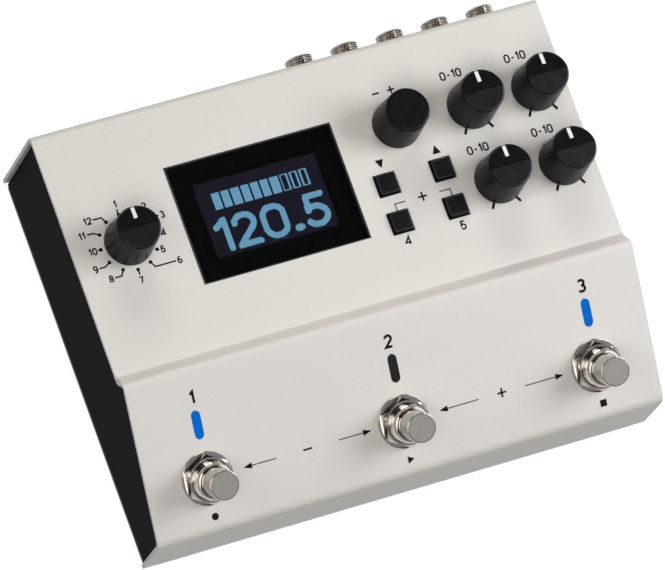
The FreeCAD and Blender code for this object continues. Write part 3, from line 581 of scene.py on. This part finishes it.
zinc_plate = new_finish("zinc_plate", (178, 178, 176), 0.35, 1.0)
mottle(zinc_plate, 1500, 0.06, detail=3)
gloss(zinc_plate, 900, 0.28, 0.42, detail=3)
smoothed("bottom_screws", zinc_plate)


# Display
# A smoked clear plate glued behind the opening, printed black round the glass of a liquid crystal display,
# whose lit picture shows level blocks and a plain number. A trim lines the opening; its dark grey, on a lip
# widest at the left, is painted shade of the opening's edge.
window_centre = (-20.4, 40.7)
opening_width = 54.9
opening_height = 38.1
mask_lap = 2.0
mask_level = -2.72
screen_centre = (-20.1, 40.6)
screen_width = 40.6
screen_height = 24.1
screen_lap = 0.5
screen_level = -2.95


def finish_node(node, finish):
    """Gives a finish to a CAD node that stays in view."""
    nodes[node].data.materials.clear()
    nodes[node].data.materials.append(finish)


def light_up(made, colour, strength):
    """Gives a finish a light of its own, its colour in screen values."""
    shader = made.node_tree.nodes["Principled BSDF"]
    shader.inputs["Emission Color"].default_value = (*linear(*colour), 1)
    shader.inputs["Emission Strength"].default_value = strength


def frame_patches(centre, outer, inner, count=64):
    """Flat frame of quads between two rectangles: each of the even rays meets a rectangle at the smaller
    of half its width over |cos| and half its height over |sin|."""
    angle = np.linspace(0, 2 * np.pi, count, endpoint=False) + np.pi / count
    ray = np.stack([np.cos(angle), np.sin(angle)], axis=1)
    rings = []
    for half in (np.array(outer) / 2, np.array(inner) / 2):
        reach = np.min(half / np.maximum(np.abs(ray), 1e-9), axis=1)
        rings.append(centre + ray * reach[:, None])
    faces = [(k, (k + 1) % count, count + (k + 1) % count, count + k) for k in range(count)]
    return np.vstack(rings), faces


window_glass = new_finish("window_glass", (235, 238, 240), 0.03)
glass_shader = window_glass.node_tree.nodes["Principled BSDF"]
glass_shader.inputs["Transmission Weight"].default_value = 1.0
glass_shader.inputs["IOR"].default_value = 1.45
gloss(window_glass, 60, 0.02, 0.05, detail=3)
finish_node("display_window", window_glass)

mask_print = new_finish("mask_print", (3, 3, 3), 0.6, specular=0.05)
mottle(mask_print, 800, 0.1)
mask_size = (opening_width + 2 * mask_lap, opening_height + 2 * mask_lap)
mask = frame_patches(window_centre, mask_size, (screen_width, screen_height))
film("window_mask", [mask], upper_panel, mask_level, mask_print)

screen_glass = new_finish("screen_glass", (18, 18, 24), 0.4)
mottle(screen_glass, 300, 0.05)
finish_node("display_module", screen_glass)
screen_dark = new_finish("screen_dark", (8, 8, 11), 0.6, specular=0.0)
light_up(screen_dark, (28, 26, 38), 1.0)
mottle(screen_dark, 300, 0.05)
ground = rectangle(screen_centre, screen_width + 2 * screen_lap, screen_height + 2 * screen_lap)
film("screen_ground", [ground], upper_panel, screen_level, screen_dark)

screen_lit = new_finish("screen_lit", (40, 60, 75), 0.6, specular=0.0)
light_up(screen_lit, (118, 176, 208), 1.0)
mottle(screen_lit, 2000, 0.03)
dots_across = 128
dots_up = 76
dot_pitch = screen_width / dots_across
dot_size = 0.92 * dot_pitch
dot_lift = 0.03


def nearest(points, chain):
    """Distance from each point to a chain: to the foot of its normal on each run, kept between the ends."""
    start = chain[:-1]
    run = np.diff(chain, axis=0)
    share = np.sum((points[:, None] - start) * run, axis=2) / np.sum(run * run, axis=1)
    foot = start + np.clip(share, 0, 1)[..., None] * run
    return np.linalg.norm(points[:, None] - foot, axis=2).min(axis=1)


def in_block(points, middle, half, low, high):
    """Which points lie inside an upright block: within half its width of the middle, from low to high."""
    return (np.abs(points[:, 0] - middle) < half) & (points[:, 1] > low) & (points[:, 1] < high)


columns, rows = np.meshgrid((np.arange(dots_across) - (dots_across - 1) / 2) * dot_pitch,
                            (np.arange(dots_up) - (dots_up - 1) / 2) * dot_pitch)
dots = np.column_stack([columns.ravel(), rows.ravel()])
number_place = (0, -5.2)
number_height = 9.4
number_weight = 1.95
number_stretch = 1.18
lit = np.zeros(len(dots), bool)
for chain in set_out("120.5", number_place, number_height, number_weight, number_stretch):
    lit |= nearest(dots, chain) < number_weight / 2

meter_blocks = 10
meter_lit = 7
meter_first = -14.6
meter_step = 3.25
meter_half = 1.3
meter_low = 2.7
meter_high = 8.4
meter_wall = 0.6
for k in range(meter_blocks):
    middle = meter_first + k * meter_step
    block = in_block(dots, middle, meter_half, meter_low, meter_high)
    if k >= meter_lit:
        block &= ~in_block(dots, middle, meter_half - meter_wall, meter_low + meter_wall,
                           meter_high - meter_wall)
    lit |= block
dot_corners = np.array([(-1, -1), (1, -1), (1, 1), (-1, 1)]) * dot_size / 2
squares = (dots[lit][:, None] + screen_centre + dot_corners).reshape(-1, 2)
picture = (squares, np.arange(len(squares)).reshape(-1, 4).tolist())
film("screen_picture", [picture], upper_panel, screen_level + dot_lift, screen_lit)

trim_lip = np.array((0.5, 0.3, 0.25, 0.3))
trim_top = 0.06
trim_foot = -1.15
trim_wall = 0.1
trim_gap = 0.02


def opening_ring(reach, height):
    """Rectangle along the opening, its left, right, front and rear sides moved outwards by a reach each."""
    left, right, front, rear = reach
    return [(-opening_width / 2 - left, -opening_height / 2 - front, height),
            (opening_width / 2 + right, -opening_height / 2 - front, height),
            (opening_width / 2 + right, opening_height / 2 + rear, height),
            (-opening_width / 2 - left, opening_height / 2 + rear, height)]


# Painted shade: the trim's dark grey, on a lip widest at the left, darkens the edge of the opening as its
# shade.
window_trim_painted_shade = new_finish("window_trim_painted_shade", (60, 58, 57), 0.5, specular=0.2)
mottle(window_trim_painted_shade, 900, 0.06)
trim_outer = np.full(4, -trim_gap)
trim_inner = np.full(4, -trim_wall)
trim = [opening_ring(*edge) for edge in (
    (trim_inner, trim_foot), (trim_inner, trim_top), (trim_lip, trim_top), (trim_lip, trim_gap),
    (trim_outer, trim_gap), (trim_outer, trim_foot), (trim_inner, trim_foot))]
joined("window_trim_painted_shade", [(np.array(trim) + (*window_centre, 0), True)], upper_panel, window_trim_painted_shade, "case")


# Knobs
# Moulded glossy black knobs on D-shaped shafts. The crown of all but the value knob is cut to two
# shallow facets, and a white line is pad-printed from its rim towards the middle.
knob_foot_radius = 7.75
knob_head_radius = 6.9
knob_lift = 0.6
knob_height = 14.9
knob_edge = 0.4
knob_foot_edge = 0.2
knob_wall_foot = 1.2
knob_wall_head = 1.4
shaft_clearance = 3.1
hollow_height = 7.0
crown_fall = math.tan(math.radians(4.5))
knob_turns = 144
gloss_depth = 2.5
gloss_inset = 0.2
pointer_half = 0.6
pointer_length = 4.0
pointer_inset = 0.05
pointer_lift = 0.02
pointer_tuck = 0.12


def panel_seat(panel, x, u):
    """Frame at a point of a panel."""
    return panel @ Matrix.Translation((x, u, 0))


def crown_height(y, faceted):
    """Height of a knob's top: two planes that fall away from the line y = 0."""
    return knob_lift + knob_height - faceted * crown_fall * np.abs(y)


def knob_grids(faceted):
    """Rings about the local z axis: the hollow, the foot, a wall whose radius falls evenly with height, and
    a quarter round that follows the crown. Each half of the crown runs straight from rim to ridge."""
    angle = np.linspace(0, 2 * np.pi, knob_turns, endpoint=False)
    wave = np.stack([np.cos(angle), np.sin(angle)], axis=-1)
    rows = []
    for radius, height in ((shaft_clearance, hollow_height),
                           (knob_head_radius - knob_wall_head, hollow_height),
                           (knob_foot_radius - knob_wall_foot, knob_lift),
                           (knob_foot_radius - knob_foot_edge, knob_lift),
                           (knob_foot_radius, knob_lift + knob_foot_edge)):
        rows.append(np.column_stack([wave * radius, np.full(knob_turns, height)]))
    rim = crown_height(wave[:, 1] * knob_head_radius, faceted)
    wall_foot = knob_lift + knob_foot_edge
    taper = (knob_head_radius - knob_foot_radius) / knob_height
    for share in np.linspace(0.1, 1, 8):
        height = wall_foot + share * (rim - knob_edge - wall_foot)
        radius = knob_foot_radius + taper * (height - knob_lift)
        rows.append(np.column_stack([wave * radius[:, None], height]))
    for bend in np.radians((30, 60, 90)):
        radius = knob_head_radius - knob_edge * (1 - math.cos(bend))
        top = crown_height(wave[:, 1] * radius, faceted)
        rows.append(np.column_stack([wave * radius, top - knob_edge * (1 - math.sin(bend))]))
    grids = [(np.array(rows), True)]
    half = knob_turns // 2
    for start in (0, half):
        arc = rows[-1][np.arange(start, start + half + 1) % knob_turns]
        ridge = arc * (1, 0, 1)
        ridge[:, 2] = crown_height(ridge[:, 1], faceted)
        grids.append((arc + (ridge - arc) * np.linspace(0, 1, 6)[:, None, None], False))
    return grids


def pointer_grid():
    """Flat band on the crown from near the middle to the rim, where its last row is tucked in."""
    along = np.linspace(knob_head_radius - pointer_length, knob_head_radius - pointer_inset, 8)
    height = crown_height(along, True) + pointer_lift
    height[-1] -= pointer_tuck
    sides = (-pointer_half, pointer_half)
    return np.array([np.column_stack([np.full(len(along), x), along, height]) for x in sides])


def beside_crown(point):
    """Points of a knob below its crown's edge or at its rim."""
    reach = np.hypot(point[:, 0], point[:, 1])
    return (point[:, 2] < knob_lift + knob_height - gloss_depth) | (reach > knob_head_radius - gloss_inset)


knob_plastic = new_finish("knob_plastic", (17, 17, 19), 0.22, specular=0.4)
mottle(knob_plastic, 500, 0.06)
gloss(knob_plastic, 350, 0.18, 0.27, detail=3)
knob_wall = new_finish("knob_wall", (17, 17, 18), 0.3, specular=0.07)
mottle(knob_wall, 500, 0.06)
gloss(knob_wall, 350, 0.26, 0.36, detail=3)
pointer_paint = new_finish("pointer_paint", (232, 232, 230), 0.5)
mottle(pointer_paint, 1500, 0.02)
zinc_shaft = new_finish("zinc_shaft", (170, 170, 168), 0.3, 1.0)
mottle(zinc_shaft, 1500, 0.05)

for name, spot in knob_seats.items():
    faceted = name != "value"
    seat = panel_seat(upper_panel, *spot)
    body = name + "_control"
    crease = 8.0 if faceted else 28.0
    knob = joined(name + "_knob_finished", knob_grids(faceted), seat, knob_plastic, body, crease)
    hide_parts(name + "_knob")
    second_finish(knob, seat, knob_wall, beside_crown)
    finish_node(name + "_shaft", zinc_shaft)
    if faceted:
        joined(name + "_pointer", [(pointer_grid(), False)], seat, pointer_paint, body)


# Push buttons
# Four square satin black keys with softened corners, standing a little out of the sheet on the stems of
# tact switches. Their side walls take a darker black as painted shade, and a lighter band round the top
# edge is a painted highlight.
key_half = 3.5
key_stand = 1.5
key_corner = 1.1
key_corner_least = 0.3
painted_highlight_depth = 0.001
painted_shade_depth = 0.35
key_profile = ((0.3, -2.2), (0, -2.0), (0, 0.1), (0.42, key_stand - 0.34), (0.47, key_stand - 0.16),
               (0.58, key_stand - 0.05), (0.74, key_stand), (1.4, key_stand))
key_plastic = new_finish("key_plastic", (18, 18, 20), 0.35, specular=0.18)
mottle(key_plastic, 900, 0.05)
relief(key_plastic, 4000, 0.000015, 0.3, detail=3)
# Painted shade: the key walls are a darker black than the top so that they read as shaded.
key_wall_painted_shade = new_finish("key_wall_painted_shade", (9, 9, 9), 0.5, specular=0.03)
mottle(key_wall_painted_shade, 900, 0.05)
# Painted highlight: a lighter band on the rounded top edge of each key.
key_rim_painted_highlight = new_finish("key_rim_painted_highlight", (40, 39, 38), 0.35, specular=0.3)
mottle(key_rim_painted_highlight, 900, 0.1)


def rounded_square(half, corner, count=8):
    """Closed chain round a square whose corners are arcs of the given radius."""
    turn = np.linspace(0, np.pi / 2, count)
    arc = corner * np.stack([np.cos(turn), np.sin(turn)], axis=1)
    chain = []
    for quarter in range(4):
        spin = quarter * np.pi / 2
        rotate = np.array([[math.cos(spin), -math.sin(spin)], [math.sin(spin), math.cos(spin)]])
        chain.append((arc + half - corner) @ rotate.T)
    return np.vstack(chain)


for name, spot in key_seats.items():
    seat = panel_seat(upper_panel, *spot)
    rings = []
    for inset, height in key_profile:
        flat = rounded_square(key_half - inset, max(key_corner - inset, key_corner_least))
        rings.append(np.column_stack([flat, np.full(len(flat), height)]))
    rings.append(rings[-1] * (0, 0, 1))
    key = joined(name + "_key_cap", [(np.array(rings), True)], seat, key_plastic, name + "_key", 40.0)
    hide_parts(name + "_button")
    second_finish(key, seat, key_rim_painted_highlight, lambda point: point[:, 2] < key_stand - painted_highlight_depth)
    second_finish(key, seat, key_wall_painted_shade, lambda point: point[:, 2] < key_stand - painted_shade_depth)


# Lamps
# Diffusing light pipes in slots of the sloped panel, blue where lit and smoky where dark. Each is capped
# by a thin lens of the same moulding, whose lip lies on the sheet around the slot.
lamp_row = 33.45
lens_length = 8.9
lens_width = 3.0
lens_foot = 0.01
lens_top = 0.12
lens_edge = 0.08
lamp_blue = new_finish("lamp_blue", (1, 48, 105), 0.35, specular=0.05)
light_up(lamp_blue, (0, 108, 207), 0.7)
mottle(lamp_blue, 400, 0.05)
smoothed("lit_lamp_lenses", lamp_blue)
lamp_smoke = new_finish("lamp_smoke", (38, 37, 36), 0.3, specular=0.1)
mottle(lamp_smoke, 400, 0.08)
smoothed("unlit_lamp_lens", lamp_smoke)


def slot_chain(length, width, inset, height, count=13):
    """Closed chain, at a height, round a slot: two half circles with a straight run between them."""
    turn = np.linspace(0, np.pi, count)
    radius = width / 2 - inset
    arc = radius * np.stack([np.cos(turn), np.sin(turn)], axis=1) + (0, (length - width) / 2)
    flat = np.vstack([arc, -arc])
    return np.column_stack([flat, np.full(len(flat), height)])


rings = [slot_chain(lens_length, lens_width, *edge) for edge in (
    (0, lens_foot), (0, lens_top - lens_edge), (lens_edge, lens_top), (lens_width / 4, lens_top))]
cap = np.array([rings[0] * (0, 0, 1)] + rings + [rings[-1] * (0, 0, 1)])
for name, finish, columns in (("lit_lamp_caps", lamp_blue, (lamp_columns[0], lamp_columns[2])),
                              ("unlit_lamp_cap", lamp_smoke, (lamp_columns[1],))):
    joined(name, [(cap + (column, lamp_row, 0), True) for column in columns], lower_panel, finish, "case")


# Footswitches
# Nickel-plated stomp switches: a washer and a hexagonal nut clamp the threaded bushing to the sheet,
# and a sprung plunger with a brushed flat top stands out of it.
nickel = new_finish("nickel", (187, 181, 174), 0.1, 1.0)
mottle(nickel, 700, 0.04)
gloss(nickel, 500, 0.07, 0.13, detail=3)
satin_nickel = new_finish("satin_nickel", (172, 167, 161), 0.38, 1.0)
mottle(satin_nickel, 3500, 0.16, detail=3)
gloss(satin_nickel, 6000, 0.32, 0.46, stretch=(0.15, 1, 1))

washer_play = 0.1
washer_radius = 8.4
washer_sheet = 0.8
washer_edge = 0.3
nut_play = 0.05
nut_across = 14.0
nut_top = 3.8
nut_bevel = 0.35
thread_radius = 6.0
thread_top = 6.2
thread_pitch = 1.0
thread_depth = 0.55
bushing_foot = -2.6
bushing_edge = 0.3
collar_radius = 5.5
collar_foot = 6.7
collar_top = 8.0
plunger_radius = 4.7
plunger_top = 15.6
plunger_round = 0.5
plunger_hole = 4.75
flange_radius = 5.5
flange_foot = -4.2
flange_top = -2.7


def spun(profile, turns=96):
    """Surface of revolution: each (radius, height) of the profile turned about the local z axis."""
    radius, height = np.asarray(profile, float).T
    angle = np.linspace(0, 2 * np.pi, turns, endpoint=False)
    ring = radius[:, None] * np.ones_like(angle)
    return np.stack([ring * np.cos(angle), ring * np.sin(angle), height[:, None] + 0 * ring], axis=-1)


def flat_washer(bore, radius, sheet, edge, turns=96):
    """Washer: the rectangle between two radii and two heights, its outer corners eased, turned about z."""
    return spun(eased([(bore, 0), (radius, 0), (radius, sheet), (bore, sheet)], edge), turns)


def hexagon_nut(across, low, high, bore, turns=180):
    """Six-sided nut: radius across/2 over the cosine of the angle from the middle of a flat, and end
    faces that fall away beyond the inner circle as a 30 degree cone."""
    angle = np.linspace(0, 2 * np.pi, turns, endpoint=False)
    flat = (angle + np.pi / 6) % (np.pi / 3) - np.pi / 6
    corner = across / 2 / np.cos(flat)
    fall = (corner - across / 2) * math.tan(math.radians(30))
    inner = np.full(turns, float(bore))
    circle = np.full(turns, across / 2)
    foot = low + 0 * fall
    top = high + 0 * fall
    rows = [(inner, foot), (circle, foot), (corner, low + fall), (corner, high - fall), (circle, top),
            (inner + nut_bevel, top), (inner, top - nut_bevel), (inner, foot)]
    return np.array([np.column_stack([r * np.cos(angle), r * np.sin(angle), z]) for r, z in rows])


def threaded(radius, low, high, pitch, depth, turns=72, steps=10):
    """Screw thread: radius falls by the depth times a rounded wave of (height / pitch - turn), which
    fades out over half a pitch at both ends."""
    rows = int((high - low) / pitch * steps)
    height = np.linspace(low, high, rows)[:, None]
    angle = np.linspace(0, 2 * np.pi, turns, endpoint=False)
    phase = height / pitch - angle / (2 * np.pi)
    fade = np.clip(np.minimum(height - low, high - height) / (0.5 * pitch), 0, 1)
    ring = radius - depth * fade * (0.5 - 0.5 * np.cos(2 * np.pi * phase)) ** 0.8
    return np.stack([ring * np.cos(angle), ring * np.sin(angle), height + 0 * ring], axis=-1)


washer = flat_washer(thread_radius + washer_play, washer_radius, washer_sheet, washer_edge)
nut = hexagon_nut(nut_across, washer_sheet, nut_top, thread_radius + nut_play)
skirt = spun([(plunger_hole, bushing_foot), (thread_radius, bushing_foot), (thread_radius, 0)], turns=72)
thread = threaded(thread_radius, 0.0, thread_top, thread_pitch, thread_depth)
mouth = eased([(thread_radius, thread_top), (collar_radius, collar_foot), (collar_radius, collar_top),
               (plunger_hole, collar_top), (plunger_hole, bushing_foot)], bushing_edge, steps=6)
collar = spun(mouth, turns=72)
washers, nuts, bushings = [], [], []
for seat in switch_seats.values():
    shift = np.array([*seat, 0])
    washers.append((washer + shift, True))
    nuts.append((nut + shift, True))
    bushings += [(part + shift, True) for part in (skirt, thread, collar)]
for node, grids in (("footswitch_washers", washers), ("footswitch_nuts", nuts),
                    ("footswitch_bushings", bushings)):
    piece = joined(node + "_finished", grids, lower_panel, nickel, "case")
    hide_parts(node)

side = eased([(0, flange_foot), (flange_radius, flange_foot), (flange_radius, flange_top),
              (plunger_radius, flange_top), (plunger_radius, plunger_top),
              (plunger_radius - plunger_round, plunger_top)], plunger_round, steps=8)
stem = spun(side)
cap = spun([(plunger_radius - plunger_round, plunger_top), (0, plunger_top)])
for name, spot in switch_seats.items():
    seat = panel_seat(lower_panel, *spot)
    body = name + "_footswitch"
    rod_piece = joined(body + "_stem", [(stem, True)], seat, nickel, body)
    joined(body + "_cap", [(cap, True)], seat, satin_nickel, body)
    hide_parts(body + "_plunger")
    spring = smoothed(body + "_spring", zinc_shaft)
    corners = np.empty(3 * len(spring.data.vertices))
    spring.data.vertices.foreach_get("co", corners)
    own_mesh(spring)


# Jacks and sockets
# Along the rear wall: five jacks, whose nickel-plated bushings are clamped to the sheet by washers and
# nuts, then two round sockets, a data socket, the power inlet and the power button, mostly moulded in
# black, which stand on the jack board and reach through the wall.
jack_count = 5
jack_radius = 4.45
jack_neck_radius = 3.95
jack_bore = 3.25
jack_bore_step = 0.1
jack_stand = 7.8
jack_bevel = 0.5
jack_edge = 0.12
jack_pitch = 0.8
jack_thread_depth = 0.45
jack_thread_foot = -1.2
jack_sleeve_foot = -4.2
jack_washer_radius = 7.0
jack_washer_sheet = 0.5
jack_washer_edge = 0.15
jack_nut_across = 12.0
jack_nut_top = 2.7


def rear_frame(x, z):
    """Frame on the rear wall at a height: local z points out of the wall, local y up."""
    turn = Matrix(((-1, 0, 0, x * mm), (0, 0, 1, rear_edge[0] * mm), (0, 1, 0, z * mm), (0, 0, 0, 1)))
    return turn @ Matrix.Diagonal((mm, mm, mm, 1))


jack_low, jack_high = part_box("jack_nuts")
jack_height = (jack_low[2] + jack_high[2]) / 2 / mm
nut_reach = jack_nut_across / math.sqrt(3)
jack_columns = np.linspace(jack_low[0] / mm + nut_reach, jack_high[0] / mm - nut_reach, jack_count)
washer = flat_washer(jack_radius + washer_play, jack_washer_radius, jack_washer_sheet,
                     jack_washer_edge, turns=72)
nut = hexagon_nut(jack_nut_across, jack_washer_sheet, jack_nut_top, jack_radius + nut_play)
thread_end = jack_stand - jack_bevel
thread = threaded(jack_radius, 0.0, thread_end, jack_pitch, jack_thread_depth)
mouth = eased([(jack_radius, thread_end), (jack_radius - jack_bevel, jack_stand),
               (jack_bore + jack_bevel, jack_stand), (jack_bore, thread_end),
               (jack_bore, jack_bore_step), (jack_bore + jack_bore_step, 0),
               (jack_bore + jack_bore_step, jack_sleeve_foot), (jack_neck_radius, jack_sleeve_foot),
               (jack_neck_radius, jack_thread_foot), (jack_radius, jack_thread_foot),
               (jack_radius, 0)], jack_edge)
sleeve = spun(mouth, turns=72)
washers, nuts, bushings = [], [], []
for column in jack_columns:
    shift = np.array([-column, 0, 0])
    washers.append((washer + shift, True))
    nuts.append((nut + shift, True))
    bushings += [(part + shift, True) for part in (thread, sleeve)]
for node, grids in (("jack_washers", washers), ("jack_nuts", nuts), ("jack_bushings", bushings)):
    piece = joined(node + "_finished", grids, rear_frame(0, jack_height), nickel, "case")
    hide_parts(node)

for node in ("jack_bodies", "round_sockets", "round_socket_cores", "power_switch_body"):
    smoothed(node, black_moulding)


def box_frame(node):
    """Upright frame in millimetres at the middle of a node's box."""
    low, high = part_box(node)
    return Matrix.Translation((Vector(low) + Vector(high)) / 2) @ Matrix.Scale(mm, 4)


white_moulding = new_finish("white_moulding", (226, 224, 214), 0.45)
mottle(white_moulding, 700, 0.03)
tongue_half = (2.85, 1.65)
data_socket = smoothed("data_socket", zinc_plate)
second_finish(data_socket, box_frame("data_socket"), white_moulding,
              lambda point: (np.abs(point[:, [0, 2]]) < tongue_half).all(axis=1))
pin_radius = 1.05
power_inlet = smoothed("power_inlet", black_moulding)
second_finish(power_inlet, box_frame("power_inlet"), nickel,
              lambda point: np.hypot(point[:, 0], point[:, 2]) < pin_radius)
smoothed("power_button", key_plastic, "power_button")


# Inner works
# Green fibreglass boards on zinc-plated spacers, with moulded black chips and switches soldered to them
# and grey ribbon cables between them. Sprung contacts of a plated bronze stand in the battery bay.
laminate = new_finish("laminate", (38, 96, 58), 0.45)
mottle(laminate, 250, 0.12)
resin = new_finish("chip_resin", (32, 32, 33), 0.6)
mottle(resin, 900, 0.1)
ribbon_grey = new_finish("ribbon_grey", (158, 158, 160), 0.5)
mottle(ribbon_grey, 1000, 0.1, stretch=(1, 0.1, 0.1))
contact_metal = new_finish("contact_metal", (206, 190, 152), 0.3, 1.0)
mottle(contact_metal, 900, 0.05)
chip_foot = -6.55
lamp_board = smoothed("lamp_board", laminate)
second_finish(lamp_board, lower_panel, white_moulding, lambda point: point[:, 2] > chip_foot)
for finish, names in ((laminate, ("control_board", "main_board", "jack_board")),
                      (resin, ("main_board_parts", "tact_switches")),
                      (resin, ("mode_switch_body", "footswitch_bodies")),
                      (ribbon_grey, ("ribbon_cables",)),
                      (contact_metal, ("battery_contacts",)),
                      (zinc_plate, ("board_spacers", "potentiometer_bodies", "value_encoder_body"))):
    for node in names:
        finish_node(node, finish)


# Studio
# A white floor under the unit, white surroundings at the horizon under a dark ceiling, and softboxes at
# the right, left, front and rear, with a dim level one overhead that knob tops and switch caps reflect.
floor_half = 6.0
floor_level = -0.0001
floor_light = 0.93
floor_paint = bpy.data.materials.new("floor_paint")
floor_paint.use_nodes = True
floor_tree = floor_paint.node_tree
floor_shader = floor_tree.nodes["Principled BSDF"]
floor_shader.inputs["Base Color"].default_value = (0.15, 0.142, 0.125, 1)
floor_shader.inputs["Roughness"].default_value = 0.9
floor_shader.inputs["Specular IOR Level"].default_value = 0.0
floor_shader.inputs["Emission Color"].default_value = (1, 1, 1, 1)


def seen_directly(tree):
    """One for camera, glossy and transmission rays, zero for the rest."""
    path = tree.nodes.new("ShaderNodeLightPath")
    total = path.outputs["Is Camera Ray"]
    for name in ("Is Glossy Ray", "Is Transmission Ray"):
        larger = tree.nodes.new("ShaderNodeMath")
        larger.operation = "MAXIMUM"
        tree.links.new(total, larger.inputs[0])
        tree.links.new(path.outputs[name], larger.inputs[1])
        total = larger.outputs["Value"]
    return total


glow = floor_tree.nodes.new("ShaderNodeMath")
glow.operation = "MULTIPLY"
glow.inputs[1].default_value = floor_light
floor_tree.links.new(seen_directly(floor_tree), glow.inputs[0])
floor_tree.links.new(glow.outputs["Value"], floor_shader.inputs["Emission Strength"])
floor_outline, floor_faces = rectangle((0, 0), 2 * floor_half, 2 * floor_half)
floor_mesh = bpy.data.meshes.new("floor")
floor_mesh.from_pydata([(x, y, floor_level) for x, y in floor_outline.tolist()], [], floor_faces)
floor_mesh.materials.append(floor_paint)
floor = bpy.data.objects.new("floor", floor_mesh)
bpy.context.scene.collection.objects.link(floor)

horizon_white = 1.0
horizon_light = 0.06
ceiling_dark = 0.03
ceiling_start = 0.2
ceiling_full = 0.6
world = bpy.data.worlds.new("studio")
bpy.context.scene.world = world
world.use_nodes = True
sky_tree = world.node_tree
direction = sky_tree.nodes.new("ShaderNodeTexCoord")
upward = sky_tree.nodes.new("ShaderNodeSeparateXYZ")
horizon = sky_tree.nodes.new("ShaderNodeMapRange")
horizon.inputs["To Min"].default_value = horizon_light
horizon.inputs["To Max"].default_value = horizon_white
fall_off = sky_tree.nodes.new("ShaderNodeMapRange")
fall_off.interpolation_type = "SMOOTHSTEP"
fall_off.inputs["From Min"].default_value = ceiling_start
fall_off.inputs["From Max"].default_value = ceiling_full
fall_off.inputs["To Max"].default_value = ceiling_dark
sky_tree.links.new(seen_directly(sky_tree), horizon.inputs["Value"])
sky_tree.links.new(horizon.outputs["Result"], fall_off.inputs["To Min"])
sky_tree.links.new(direction.outputs["Generated"], upward.inputs["Vector"])
sky_tree.links.new(upward.outputs["Z"], fall_off.inputs["Value"])
sky_tree.links.new(fall_off.outputs["Result"], sky_tree.nodes["Background"].inputs["Strength"])
sky_tree.nodes["Background"].inputs["Color"].default_value = (1, 1, 1, 1)
unit_middle = Vector((0, 0, 0.03))


def soft_lamp(name, place, size, radiance, tint):
    """Softbox that looks at the middle of the unit; its power is radiance times pi times its area."""
    light = bpy.data.lights.new(name, "AREA")
    light.shape = "RECTANGLE"
    light.size, light.size_y = size
    light.energy = radiance * math.pi * size[0] * size[1]
    light.color = tint
    lamp = bpy.data.objects.new(name, light)
    lamp.location = place
    lamp.rotation_euler = (unit_middle - Vector(place)).to_track_quat("-Z", "Y").to_euler()
    bpy.context.scene.collection.objects.link(lamp)
    return lamp


soft_lamp("right_softbox", (0.72, -0.15, 0.7), (0.56, 0.56), 6.7, (0.96, 0.98, 1.0))
soft_lamp("left_softbox", (-1.2, 0.1, 1.05), (0.9, 0.9), 1.6, (1.0, 0.96, 0.9))
soft_lamp("front_softbox", (-0.6, -0.75, 1.6), (1.0, 0.9), 4.6, (1.0, 0.985, 0.96))
soft_lamp("rear_softbox", (0.2, 1.35, 0.9), (0.8, 0.8), 3.7, (1.0, 0.94, 0.85))
overhead = soft_lamp("overhead_softbox", (0.5, -0.78, 1.5), (1.2, 1.9), 0.36, (0.94, 0.93, 1.0))
overhead.rotation_euler = (0, 0, 0)

# The camera stands where the photograph was taken from, with its long lens.
camera_right = Vector((0.91139, -0.33703, 0.23617))
camera_up = Vector((0.25903, 0.91571, 0.30721))
camera_place = Vector((-0.81043, -0.55686, 2.35489))
camera_data = bpy.data.cameras.new("camera")
camera_data.lens = 444.45
camera_data.sensor_width = 36.0
camera_data.clip_start = 0.1
camera_data.clip_end = 50.0
camera = bpy.data.objects.new("camera", camera_data)
turned = Matrix((camera_right, camera_up, camera_right.cross(camera_up))).transposed()
camera.matrix_world = Matrix.Translation(camera_place) @ turned.to_4x4()
bpy.context.scene.collection.objects.link(camera)
bpy.context.scene.camera = camera
bpy.context.scene.view_settings.view_transform = "Standard"
